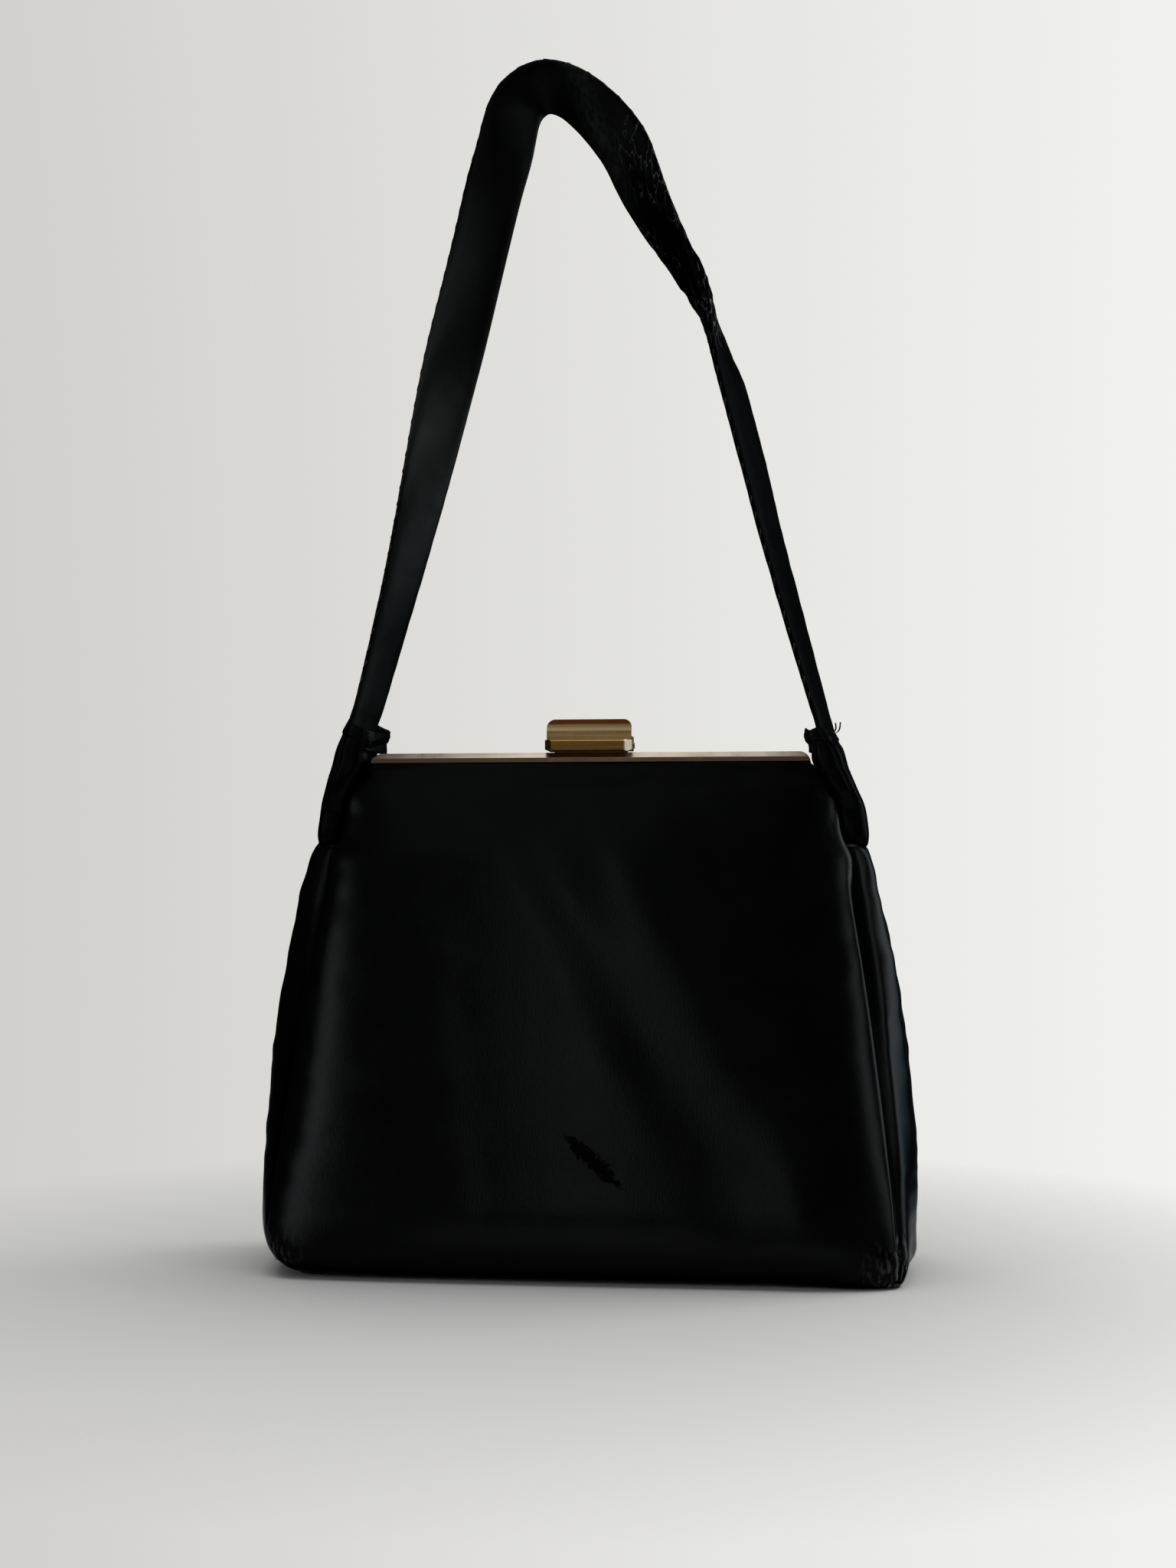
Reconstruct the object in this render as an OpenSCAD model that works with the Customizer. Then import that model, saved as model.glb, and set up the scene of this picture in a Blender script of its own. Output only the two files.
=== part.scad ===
// Small framed evening bag with a strap handle and a lever clasp.
// Millimetres. Origin at the centre of the base, +Z up, the front faces -Y, +X to the right.

/* [Body] */
// Height from the base to the top of the frame
body_h = 140; // [136:1:144]
// Depth of the closed bag at its base
body_d = 64; // [58:1:70]
// Half width at the front seam just under the frame
seam_w_top = 61.5; // [61.5:0.5:63]
// Half width at the front seam near the base
seam_w_base = 85; // [81:1:88]
// How far the left gusset swells past its seams
left_bulge = 11; // [8:0.2:12]
// How far the right gusset swells past its seams
right_bulge = 8.8; // [6:0.2:10]
// Depth of the soft crease down the middle of a gusset
gusset_crease = 4; // [0:0.5:6]
// Radius of the rounded lower edges
base_r = 8; // [7:0.5:9]
// Largest roll of a panel edge towards its seam
edge_roll = 7; // [5:0.5:8]
// Outward crown of the front and rear panels
crown = 1.2; // [0:0.2:2]
// Outer satin with its felt backing
skin_t = 0.8; // [0.6:0.1:0.8]
// Lining cloth
lining_t = 0.5; // [0.4:0.1:0.5]

/* [Frame] */
// Length of the top rail
rail_w = 120.6; // [116:0.2:121]
// Depth of one rail
rail_d = 5; // [4.8:0.1:5.2]
// Height of the rail's visible outer wall
rail_wall = 2.6; // [2.4:0.1:2.8]
// Sheet thickness of the rail
rail_t = 0.8; // [0.7:0.05:0.85]
// Bevel along the top outer edge of the rail
rail_bevel = 1.4; // [1.0:0.1:1.5]
// Hinge axis below the top of the frame
hinge_drop = 21.5; // [21:0.5:22]
// Radius of the hinge rivet shank
hinge_pin_r = 1.5; // [1.3:0.1:1.6]

/* [Clasp] */
// Width of the catch bar on the front rail
catch_w = 23.8; // [22:0.2:24]
// Width of the latch plate on the rear rail
latch_w = 23.2; // [23:0.2:25]
// Top of the latch plate above the frame
latch_h = 9.2; // [8.5:0.1:10.5]

/* [Handle] */
// Width of the strap
strap_w = 16; // [14:0.5:16]
// Thickness of the strap
strap_t = 2.8; // [2.2:0.1:3]
// Half width of the tabs around the strap ends
tab_half_w = 8.6; // [8.5:0.1:9]
// Turn of the strap at the mouth of the left tab
left_turn = 14; // [0:1:16]
// Turn of the strap at the mouth of the right tab, the other way
right_turn = 10; // [0:1:12]

/* [Hidden] */
$fn = 48;

// Layer depths under the outer face of a panel, each pair outer side then inner side
skin = [0, skin_t];
stiffener = [1.0, 1.9];
facing = [2.1, 2.7];
lining = [3.2, 3.2 + lining_t];
pocket = [4.0, 4.5];

// Where the walls end under the bag, as an angle round the lower edge from straight down
foot_angle = 14;

// Heights of the pieces of the pouch
hinge_z = body_h - hinge_drop;
panel_top = body_h - 3;
tuck_top = body_h - 1.9;
gusset_top = hinge_z - 4.5;
stiffener_top = hinge_z - 3;
lining_low = 5;
lining_top = body_h - 7.5;

// Closed frame: half gap between the halves, depth of the panel in the rail, tuck width
frame_gap = 0.2;
depth_top = 4.2;
tuck_w = rail_w / 2 - 2.6;

// Arms and eyes
arm_t = 1.2;
arm_d = 2.4;
arm_bend = 5;
eye_r = 4;
eye_out = 66.5;
eye_step = 1.4;
run_gap = 0.05;

// Hinge rivet stations along X, from the inner head to the outer head
rivet_in = eye_out - eye_step - arm_t - 0.9;
rivet_head_t = 0.7;
collar_from = eye_out + 0.2;
collar_to = eye_out + 2.8;
lug_in = collar_to + 0.15;
lug_t = 1.2;

// Lever clasp: pin centre, sheet thickness
pin_y = 3.2;
pin_z = body_h + 2.2;
pin_r = 0.9;
bar_low = body_h + 0.2;
bar_high = body_h + 3.4;
lip_low = bar_high + 0.25;
clasp_t = 0.9;
cheek_t = 1;

// Colours
satin = [0.05, 0.05, 0.06];
board = [0.45, 0.40, 0.33];
cloth = [0.16, 0.13, 0.12];
gold = [0.80, 0.62, 0.28];
steel = [0.62, 0.62, 0.60];

// Shape of the pouch: half depth, half width at the seams, roll of the panel edges, which flattens
// where the panel passes in front of the frame arms and towards the lower corners, swell and crease
// of the gussets, with a round shoulder under the tabs
function half_depth(z) = depth_top + (body_d / 2 - depth_top) * (1 - pow(z / body_h, 1.9));
function half_width(z) =
  seam_w_top + (seam_w_base - seam_w_top) * pow(1 - pow(min(z, body_h) / body_h, 1.3), 0.7);
function flatten(z) = max(0, min(1, (z - hinge_z - arm_bend) / (panel_top - hinge_z - arm_bend)));
function corner(z) = max(0, 1 - z / 34);
function roll(z) =
  min(edge_roll, 0.4 * half_depth(z)) * (1 - 0.75 * flatten(z)) * (1 - 0.65 * corner(z));
function seam_y(z) = half_depth(z) - roll(z) - crown;
function shoulder(z) = sqrt(1 - pow(max(0, z - gusset_top + 14) / 19.5, 2));
function swell(z) = pow(sin(180 * (z + 14) / (gusset_top + 100)), 0.72) * shoulder(z);
function crease(z) = gusset_crease * pow(max(0, sin(180 * (z - 30) / (gusset_top - 10))), 2);

// A point of the front panel: s runs from -1 at the left seam to 1 at the right seam
function panel_y(s, z) =
  seam_y(z) + roll(z) * sqrt(max(0, 1 - pow(abs(s), 8))) + crown * (1 - s * s);
function panel_point(s, z, inset) = [s * (half_width(z) - inset), inset - panel_y(s, z), z];

// A point of a gusset on the right: v runs from -1 at the front seam to 1 at the rear seam
function gusset_point(v, z, inset, bulge) =
  let (y = v * (seam_y(z) - inset))
  [
    half_width(z) - inset + bulge * swell(z) * pow(max(0, cos(90 * v)), 0.8)
      - crease(z) * exp(-pow(y / 4, 2)) * (1 - v * v),
    y,
    z
  ];

// Stations up a wall as [inset, z]: round the lower edge for a layer at depth e, then straight up
function wall_stations(e, from_angle, z_top, steps) = concat(
  [for (a = [from_angle : (90 - from_angle) / 4 : 89.9])
    [base_r - (base_r - e) * sin(a), base_r - (base_r - e) * cos(a)]],
  [for (i = [0 : steps]) [e, base_r + (z_top - base_r) * i / steps]]
);
function plain_stations(e, z_low, z_top, steps) =
  [for (i = [0 : steps]) [e, z_low + (z_top - z_low) * i / steps]];

// Even steps from -1 to 1, drawn closer together towards the seams
function seam_steps(n) = [for (i = [0 : n]) sin(-90 + 180 * i / n)];
function even_steps(n) = [for (i = [0 : n]) -1 + 2 * i / n];

// Inner edge of the frame arms, which bounds the facings and the top of the lining
function arm_inner(z) =
  let (
    low = eye_out - eye_step - arm_t,
    bend_z = hinge_z + arm_bend,
    top = rail_w / 2 - eye_step - 0.5 - arm_t
  )
  low + (top - low) * max(0, z - bend_z) / (body_h - 2.5 - bend_z);

// Two grids of points closed into a thin solid
module sheet(outer, inner) {
  rows = len(outer);
  cols = len(outer[0]);
  points = concat([for (r = outer) each r], [for (r = inner) each r]);
  o = function (r, c) r * cols + c;
  n = function (r, c) rows * cols + r * cols + c;
  last_r = rows - 1;
  last_c = cols - 1;
  faces = concat(
    [for (r = [0 : last_r - 1], c = [0 : last_c - 1]) each [
      [o(r, c), o(r + 1, c), o(r + 1, c + 1)],
      [o(r, c), o(r + 1, c + 1), o(r, c + 1)],
      [n(r, c), n(r + 1, c + 1), n(r + 1, c)],
      [n(r, c), n(r, c + 1), n(r + 1, c + 1)]
    ]],
    [for (c = [0 : last_c - 1]) each [
      [o(0, c), o(0, c + 1), n(0, c + 1)],
      [o(0, c), n(0, c + 1), n(0, c)],
      [o(last_r, c + 1), o(last_r, c), n(last_r, c)],
      [o(last_r, c + 1), n(last_r, c), n(last_r, c + 1)]
    ]],
    [for (r = [0 : last_r - 1]) each [
      [o(r + 1, 0), o(r, 0), n(r, 0)],
      [o(r + 1, 0), n(r, 0), n(r + 1, 0)],
      [o(r, last_c), o(r + 1, last_c), n(r + 1, last_c)],
      [o(r, last_c), n(r + 1, last_c), n(r, last_c)]
    ]]
  );
  polyhedron(points = points, faces = faces);
}

// Rings of points along a path, closed into a solid with flat ends
module tube(rings) {
  count = len(rings);
  around = len(rings[0]);
  points = [for (r = rings) each r];
  p = function (k, j) k * around + j % around;
  faces = concat(
    [[for (j = [0 : around - 1]) p(0, j)]],
    [[for (j = [around - 1 : -1 : 0]) p(count - 1, j)]],
    [for (k = [0 : count - 2], j = [0 : around - 1]) each [
      [p(k, j), p(k + 1, j), p(k + 1, j + 1)],
      [p(k, j), p(k + 1, j + 1), p(k, j + 1)]
    ]]
  );
  polyhedron(points = points, faces = faces);
}

// A flat-sided oval used for the sections of the strap and its tabs
function oval(n, half_a, half_b) = [
  for (j = [0 : n - 1])
    let (c = cos(360 * (j + 0.5) / n), s = sin(360 * (j + 0.5) / n))
    [half_a * sign(c) * pow(abs(c), 0.55), half_b * sign(s) * pow(abs(s), 0.55)]
];

// Sweep a profile drawn as [y, z] along X, centred
module along_x(length) {
  rotate([90, 0, 90])
    linear_extrude(height = length, center = true)
      children();
}

// Sweep a profile drawn as [x, z] along Y, between two depths
module along_y(from_y, to_y) {
  translate([0, to_y, 0])
    rotate([90, 0, 0])
      linear_extrude(height = to_y - from_y)
        children();
}

// A round bar along X from x0 to x1
module bar_x(x0, x1, r, y, z) {
  translate([x0, y, z])
    rotate([0, 90, 0])
      cylinder(r = r, h = x1 - x0);
}

// Front panel: rolled edges, rounded foot, upper edge stepping into the rail
module panel_shape() {
  top_row = function (e) [for (s = seam_steps(22))
    [s * (tuck_w - e), -depth_top + e, panel_top + 0.3]];
  tuck_row = function (e) [for (s = seam_steps(22))
    [s * (tuck_w - e), -depth_top + e, tuck_top]];
  grid = function (e) concat(
    [for (q = wall_stations(e, foot_angle, panel_top, 14)) [for (s = seam_steps(22)) panel_point(s, q[1], q[0])]],
    [top_row(e)],
    [tuck_row(e)]
  );
  sheet(grid(skin[0]), grid(skin[1]));
}

module front_panel() {
  color(satin) panel_shape();
}

module rear_panel() {
  color(satin) mirror([0, 1, 0]) panel_shape();
}

// Gusset: swells past its seams, with a soft crease that fades out towards the base
module gusset_shape(bulge) {
  grid = function (e) [for (q = wall_stations(e, foot_angle, gusset_top, 12))
    [for (v = seam_steps(14)) gusset_point(v, q[1], q[0], bulge)]];
  sheet(grid(skin[0]), grid(skin[1]));
}

module right_gusset() {
  color(satin) gusset_shape(right_bulge);
}

module left_gusset() {
  color(satin) mirror([1, 0, 0]) gusset_shape(left_bulge);
}

// Plan of the base, following the walls at a given inset
function base_plan(inset) =
  let (
    front = [for (s = seam_steps(22)) panel_point(s, 0, inset)],
    right = [for (v = seam_steps(14)) if (abs(v) < 0.999) gusset_point(v, 0, inset, right_bulge)],
    left = [for (v = seam_steps(14)) if (abs(v) < 0.999) gusset_point(v, 0, inset, left_bulge)]
  )
  concat(
    [for (q = front) [q[0], q[1]]],
    [for (q = right) [q[0], q[1]]],
    [for (q = front) [-q[0], -q[1]]],
    [for (q = left) [-q[0], -q[1]]]
  );

// Base panel: the flat face that the bag rests on
foot_inset = base_r * (1 - sin(foot_angle)) + 0.45;
module base_panel() {
  color(satin)
    linear_extrude(height = skin_t + 0.3)
      polygon(base_plan(foot_inset));
}

// Board that keeps the base flat, resting on the base panel
module base_board() {
  color(board)
    translate([0, 0, skin_t + 0.4])
      linear_extrude(height = 2)
        polygon(base_plan(base_r + 2.5));
}

// Stiffener glued behind each panel, from the lower edge to just under the hinge, upper corners cut back
stiffener_taper = 35.5;
function stiffener_reach(z) = 0.985 - 0.115 * max(0, 1 - (stiffener_top - z) / stiffener_taper);
module interlining_shape() {
  grid = function (e) [for (q = wall_stations(e, 40, stiffener_top, 9))
    [for (s = seam_steps(14)) panel_point(s * stiffener_reach(q[1]), q[1], q[0])]];
  sheet(grid(stiffener[0]), grid(stiffener[1]));
}

module front_interlining() {
  color(board) interlining_shape();
}

module rear_interlining() {
  color(board) mirror([0, 1, 0]) interlining_shape();
}

// Facing that closes the window of a frame half and turns with it
module facing_shape() {
  grid = function (e) [for (q = plain_stations(e, hinge_z - 1.5, body_h - 3.6, 5))
    [for (s = seam_steps(14))
      let (x = s * (arm_inner(q[1]) - 0.6))
      [x, e - panel_y(x / (half_width(q[1]) - e), q[1]), q[1]]]];
  sheet(grid(facing[0]), grid(facing[1]));
}

module front_facing() {
  color(board) facing_shape();
}

module rear_facing() {
  color(board) mirror([0, 1, 0]) facing_shape();
}

// Lining of one panel; it draws in above the gussets to pass between the frame arms
function lining_half(z, e) =
  let (draw_in = max(0, min(1, (z - gusset_top + 22) / 26)))
  (half_width(z) - e) * (1 - draw_in) + (arm_inner(z) - 1) * draw_in;
module panel_lining_shape() {
  grid = function (e) [for (q = plain_stations(e, lining_low, lining_top, 12))
    [for (s = seam_steps(14))
      let (x = s * 0.99 * lining_half(q[1], e))
      [x, e - panel_y(x / (half_width(q[1]) - e), q[1]), q[1]]]];
  sheet(grid(lining[0]), grid(lining[1]));
}

module front_lining() {
  color(cloth) panel_lining_shape();
}

module rear_lining() {
  color(cloth) mirror([0, 1, 0]) panel_lining_shape();
}

// Lining of one gusset
module gusset_lining_shape(bulge) {
  grid = function (e) [for (q = plain_stations(e, lining_low, gusset_top - 14, 9))
    [for (v = seam_steps(8)) gusset_point(v * 0.95, q[1], e, bulge)]];
  sheet(grid(lining[0]), grid(lining[1]));
}

module right_lining() {
  color(cloth) gusset_lining_shape(right_bulge);
}

module left_lining() {
  color(cloth) mirror([1, 0, 0]) gusset_lining_shape(left_bulge);
}

// Lining over the base board
module base_lining() {
  color(cloth)
    translate([0, 0, skin_t + 2.5])
      linear_extrude(height = lining_t)
        polygon(base_plan(base_r + 2));
}

// Slip pocket sewn to the rear lining
pocket_low = 34;
pocket_high = 84;
pocket_half_w = 42;
module lining_pocket() {
  grid = function (e) [for (q = plain_stations(e, pocket_low, pocket_high, 6))
    [for (u = even_steps(8))
      let (x = u * pocket_half_w)
      [x, e - panel_y(x / (half_width(q[1]) - e), q[1]), q[1]]]];
  color(cloth)
    mirror([0, 1, 0])
      sheet(grid(pocket[0]), grid(pocket[1]));
}

// Frame rail as a folded channel: bevelled outer wall, flat top, deeper inner wall
rail_inner_drop = 7;
rail_corner = 3.2;
module rail() {
  low = body_h - rail_wall;
  out = -frame_gap - rail_d;
  intersection() {
    along_x(rail_w)
      polygon([
        [out, low],
        [out, body_h - rail_bevel],
        [out + rail_bevel, body_h],
        [-frame_gap, body_h],
        [-frame_gap, body_h - rail_inner_drop],
        [-frame_gap - rail_t, body_h - rail_inner_drop],
        [-frame_gap - rail_t, body_h - rail_t],
        [out + rail_bevel + 0.4 * rail_t, body_h - rail_t],
        [out + rail_t, body_h - rail_bevel - 0.4 * rail_t],
        [out + rail_t, low]
      ]);
    along_y(out - 1, 1) {
      translate([-rail_w / 2, body_h - 10])
        square([rail_w, 10 - rail_corner]);
      translate([-rail_w / 2 + rail_corner, body_h - 10])
        square([rail_w - 2 * rail_corner, 10]);
      for (sx = [-1, 1])
        translate([sx * (rail_w / 2 - rail_corner), body_h - rail_corner])
          circle(r = rail_corner);
    }
  }
}

// One arm with its eye: leans outwards from the rail, then runs straight down through the hinge
module arm(step) {
  top_x = rail_w / 2 - 0.5 - step;
  low_x = eye_out - step;
  along_y(-frame_gap - arm_d, -frame_gap)
    polygon([
      [top_x, body_h - 0.3 * rail_t - 2],
      [low_x, hinge_z + arm_bend],
      [low_x, hinge_z],
      [low_x - arm_t, hinge_z],
      [low_x - arm_t, hinge_z + arm_bend],
      [top_x - arm_t, body_h - 0.3 * rail_t - 2],
      [top_x - arm_t, body_h - 0.5 * rail_t],
      [top_x - 0.2 * arm_t, body_h - 0.5 * rail_t - 1]
    ]);
  bar_x(low_x - arm_t, low_x, eye_r, 0, hinge_z);
}

// A frame half; the eyes of the two halves stand side by side on the hinge rivets
module frame_half(step) {
  difference() {
    union() {
      rail();
      for (m = [0, 1])
        mirror([m, 0, 0])
          arm(step);
    }
    bar_x(-eye_out - 1, eye_out + 1, hinge_pin_r + run_gap, 0, hinge_z);
  }
}

// Front half: the two catch rivets pass through its top
catch_rivet_x = 7;
catch_rivet_y = -2.4;
catch_rivet_r = 0.6;
module front_frame() {
  color(gold)
    difference() {
      frame_half(0);
      for (sx = [-1, 1])
        translate([sx * catch_rivet_x, catch_rivet_y, body_h - 2])
          cylinder(r = catch_rivet_r, h = 4);
    }
}

// Rear half: the eyes stand inside those of the front half; the bracket rivets pass through its top
bracket_rivet_x = 6.5;
bracket_rivet_y = 1.9;
module rear_frame() {
  color(gold)
    difference() {
      mirror([0, 1, 0]) frame_half(eye_step);
      for (sx = [-1, 1])
        translate([sx * bracket_rivet_x, bracket_rivet_y, body_h - 2])
          cylinder(r = catch_rivet_r, h = 4);
    }
}

// Shouldered hinge rivets: inner head, shank through both eyes, collar, shank for the lug, outer head
module hinge_rivets() {
  color(gold)
    for (m = [0, 1])
      mirror([m, 0, 0]) {
        bar_x(rivet_in, rivet_in + rivet_head_t, 2 * hinge_pin_r, 0, hinge_z);
        bar_x(rivet_in, lug_in + lug_t + 0.2, hinge_pin_r, 0, hinge_z);
        bar_x(collar_from, collar_to, 1.7 * hinge_pin_r, 0, hinge_z);
        bar_x(lug_in + lug_t + 0.15, lug_in + lug_t + 0.85, 1.85 * hinge_pin_r, 0, hinge_z);
      }
}

// Catch bar on the front rail: eased edges, faceted ends, cut-back lower corners, standing on a narrow foot
bar_front = -6.3;
bar_back = -2.0;
bar_bevel = 0.4;
end_facet_x = 1.8;
end_facet_y = 1.3;
corner_cut_x = 1.3;
corner_cut_z = 0.6;
foot_half_x = 9.2;
foot_back = -0.8;
module catch_bar() {
  color(gold)
    difference() {
      union() {
        intersection() {
          along_x(catch_w)
            polygon([
              [bar_front, bar_low + bar_bevel],
              [bar_front, bar_high - bar_bevel],
              [bar_front + bar_bevel, bar_high],
              [bar_back, bar_high],
              [bar_back, bar_low],
              [bar_front + bar_bevel, bar_low]
            ]);
          along_y(bar_front - 1, 0)
            polygon([
              [-catch_w / 2, bar_high + 1],
              [-catch_w / 2, bar_low + corner_cut_z],
              [-catch_w / 2 + corner_cut_x, bar_low],
              [catch_w / 2 - corner_cut_x, bar_low],
              [catch_w / 2, bar_low + corner_cut_z],
              [catch_w / 2, bar_high + 1]
            ]);
          translate([0, 0, bar_low - 1])
            linear_extrude(bar_high - bar_low + 2)
              polygon([
                [-catch_w / 2, bar_back + 1],
                [-catch_w / 2, bar_front + end_facet_y],
                [-catch_w / 2 + end_facet_x, bar_front],
                [catch_w / 2 - end_facet_x, bar_front],
                [catch_w / 2, bar_front + end_facet_y],
                [catch_w / 2, bar_back + 1]
              ]);
        }
        translate([-foot_half_x, -3.6, body_h])
          cube([2 * foot_half_x, 3.6 + foot_back, bar_low - body_h + 0.1]);
      }
      for (sx = [-1, 1])
        translate([sx * catch_rivet_x, catch_rivet_y, body_h - 0.1])
          cylinder(r = catch_rivet_r, h = 1.7);
    }
}

// Rivets that hold the catch bar, headed inside the rail
module catch_rivets() {
  color(gold)
    for (sx = [-1, 1])
      translate([sx * catch_rivet_x, catch_rivet_y, body_h - rail_t - 0.7]) {
        cylinder(r = 0.9, h = 0.7);
        cylinder(r = catch_rivet_r, h = 2.9);
      }
}

// Latch bracket: plate on the rear rail with two ears that carry the pin
bracket_half_x = 10;
ear_r = 1.3;
module latch_bracket() {
  color(gold)
    difference() {
      union() {
        translate([-bracket_half_x, 0.5, body_h])
          cube([2 * bracket_half_x, 3.2, 0.7]);
        for (sx = [-1, 1])
          translate([sx * (bracket_half_x - 0.5), 0, 0])
            along_x(1) {
              translate([pin_y, pin_z])
                circle(r = ear_r);
              translate([pin_y - ear_r, body_h])
                square([2 * ear_r - 0.4, pin_z - body_h]);
            }
      }
      bar_x(-bracket_half_x - 1, bracket_half_x + 1, pin_r, pin_y, pin_z);
      for (sx = [-1, 1])
        translate([sx * bracket_rivet_x, bracket_rivet_y, body_h - 1])
          cylinder(r = catch_rivet_r, h = 3);
    }
}

// Rivets that hold the bracket, headed above the plate and inside the rail
module bracket_rivets() {
  color(gold)
    for (sx = [-1, 1])
      translate([sx * bracket_rivet_x, bracket_rivet_y, body_h - rail_t - 0.6]) {
        cylinder(r = 0.85, h = 0.6);
        cylinder(r = catch_rivet_r, h = rail_t + 1.7);
        translate([0, 0, rail_t + 1.3])
          cylinder(r = 0.9, h = 0.45);
      }
}

// Pin that the latch plate turns on
module latch_pin() {
  color(steel)
    bar_x(-latch_w / 2 - 0.3, latch_w / 2 + 0.3, pin_r, pin_y, pin_z);
}

// Torsion spring round the pin; one leg bears on the bracket, the other under the latch plate
coil_r = 1.2;
wire_r = 0.18;
coil_turns = 6;
coil_pitch = 0.95;
function coil_point(t) =
  let (a = 360 * coil_turns * t + 180)
  [coil_pitch * coil_turns * (t - 0.5), pin_y + coil_r * cos(a), pin_z + coil_r * sin(a)];
coil_path = concat(
  [[-coil_pitch * coil_turns / 2 - 0.1, pin_y - coil_r - 0.1, body_h + 0.9]],
  [for (i = [0 : coil_turns * 12]) coil_point(i / (coil_turns * 12))],
  [[coil_pitch * coil_turns / 2 + 0.1, pin_y - coil_r - 0.1, lip_low - 0.35]]
);
module latch_spring() {
  count = len(coil_path);
  color(steel)
    tube([
      for (k = [0 : count - 1])
        let (
          before = coil_path[max(0, k - 1)],
          after = coil_path[min(count - 1, k + 1)],
          t = (after - before) / norm(after - before),
          a = cross([1, 0, 0], t) / norm(cross([1, 0, 0], t)),
          b = cross(t, a)
        )
        [for (j = [0 : 5]) coil_path[k] + wire_r * (cos(60 * j) * a + sin(60 * j) * b)]
    ]);
}

// Latch plate: lip over the catch bar, thumb plate leaning back, cheeks down to the pin
thumb_corner = 2.2;
lip_rise = 1.9;
module latch_plate() {
  top = body_h + latch_h;
  color(gold)
    difference() {
      union() {
        intersection() {
          along_x(latch_w)
            polygon([
              [-3.6, lip_low],
              [-3.6, lip_low + lip_rise],
              [-2.9, lip_low + lip_rise + 1.9],
              [-1.9, top],
              [-1.0, top],
              [-2.0, lip_low + lip_rise + 1.9],
              [-2.7, lip_low + lip_rise],
              [-2.7, lip_low + clasp_t],
              [pin_y + 1.2, lip_low + clasp_t],
              [pin_y + 1.2, lip_low]
            ]);
          along_y(-6, 8) {
            translate([-latch_w / 2, lip_low - 1])
              square([latch_w, top - lip_low + 1 - thumb_corner]);
            translate([-latch_w / 2 + thumb_corner, lip_low - 1])
              square([latch_w - 2 * thumb_corner, top - lip_low + 1]);
            for (sx = [-1, 1])
              translate([sx * (latch_w / 2 - thumb_corner), top - thumb_corner])
                circle(r = thumb_corner);
          }
        }
        for (sx = [-1, 1])
          translate([sx * (latch_w / 2 - cheek_t / 2), 0, 0])
            along_x(cheek_t) {
              translate([pin_y, pin_z])
                circle(r = 1.6);
              polygon([
                [pin_y - 1.6, pin_z],
                [-1.2, lip_low + 0.2],
                [pin_y + 1.2, lip_low + 0.2],
                [pin_y + 1.6, pin_z]
              ]);
            }
      }
      bar_x(-latch_w / 2 - 1, latch_w / 2 + 1, pin_r + run_gap, pin_y, pin_z);
    }
}

// Strap stations from the right tab over the top to the left tab: x, z above the frame, turn of its width
strap_route = [
  [64.9, 3.2, 0.8 * right_turn], [63.3, 9.2, 0.8 * right_turn], [61.6, 15, 0.9 * right_turn],
  [54.8, 39.4, 15], [49.3, 59.6, 18], [44.3, 79.8, 22], [38.9, 100, 22], [36.2, 108, 15], [33.8, 115, 6],
  [30.2, 125.2, -12], [24.7, 135.3, -24], [18.8, 145.4, -38],
  [13.9, 155.5, -52], [9.6, 165.5, -60], [4, 173.2, -58], [-1.6, 178.6, -50], [-6.6, 182, -44],
  [-12.2, 183.4, -42], [-17.2, 181.4, -46], [-21, 176.4, -56], [-23.8, 165.6, -68], [-26.8, 155.5, -78],
  [-30.6, 140.3, -82], [-35.5, 120.1, -78], [-40.4, 99.9, -60], [-45, 79.8, -42], [-49.7, 59.6, -29],
  [-54.8, 39.4, -20], [-61.4, 15, -0.9 * left_turn], [-63.3, 9.2, -0.8 * left_turn],
  [-64.9, 3.2, -0.8 * left_turn]
];
function blend4(a, b, c, d, t) =
  0.5 * (2 * b + (c - a) * t + (2 * a - 5 * b + 4 * c - d) * t * t
    + (3 * b - a - 3 * c + d) * t * t * t);
function route_at(i, t) =
  let (last = len(strap_route) - 1)
  blend4(strap_route[max(0, i - 1)], strap_route[i], strap_route[i + 1], strap_route[min(last, i + 2)], t);
strap_line = concat(
  [for (i = [0 : len(strap_route) - 2], t = [0, 1 / 2]) route_at(i, t)],
  [strap_route[len(strap_route) - 1]]
);
module strap() {
  count = len(strap_line);
  color(satin)
    tube([
      for (k = [0 : count - 1])
        let (
          q = strap_line[k],
          step = strap_line[min(count - 1, k + 1)] - strap_line[max(0, k - 1)],
          run = norm([step[0], step[1]]),
          face = [step[1] / run, 0, -step[0] / run],
          width = cos(q[2]) * [0, 1, 0] + sin(q[2]) * face,
          thick = cos(q[2]) * face - sin(q[2]) * [0, 1, 0]
        )
        [for (p = oval(12, strap_t / 2, strap_w / 2)) [q[0], 0, body_h + q[1]] + p[0] * thick + p[1] * width]
    ]);
}

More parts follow.
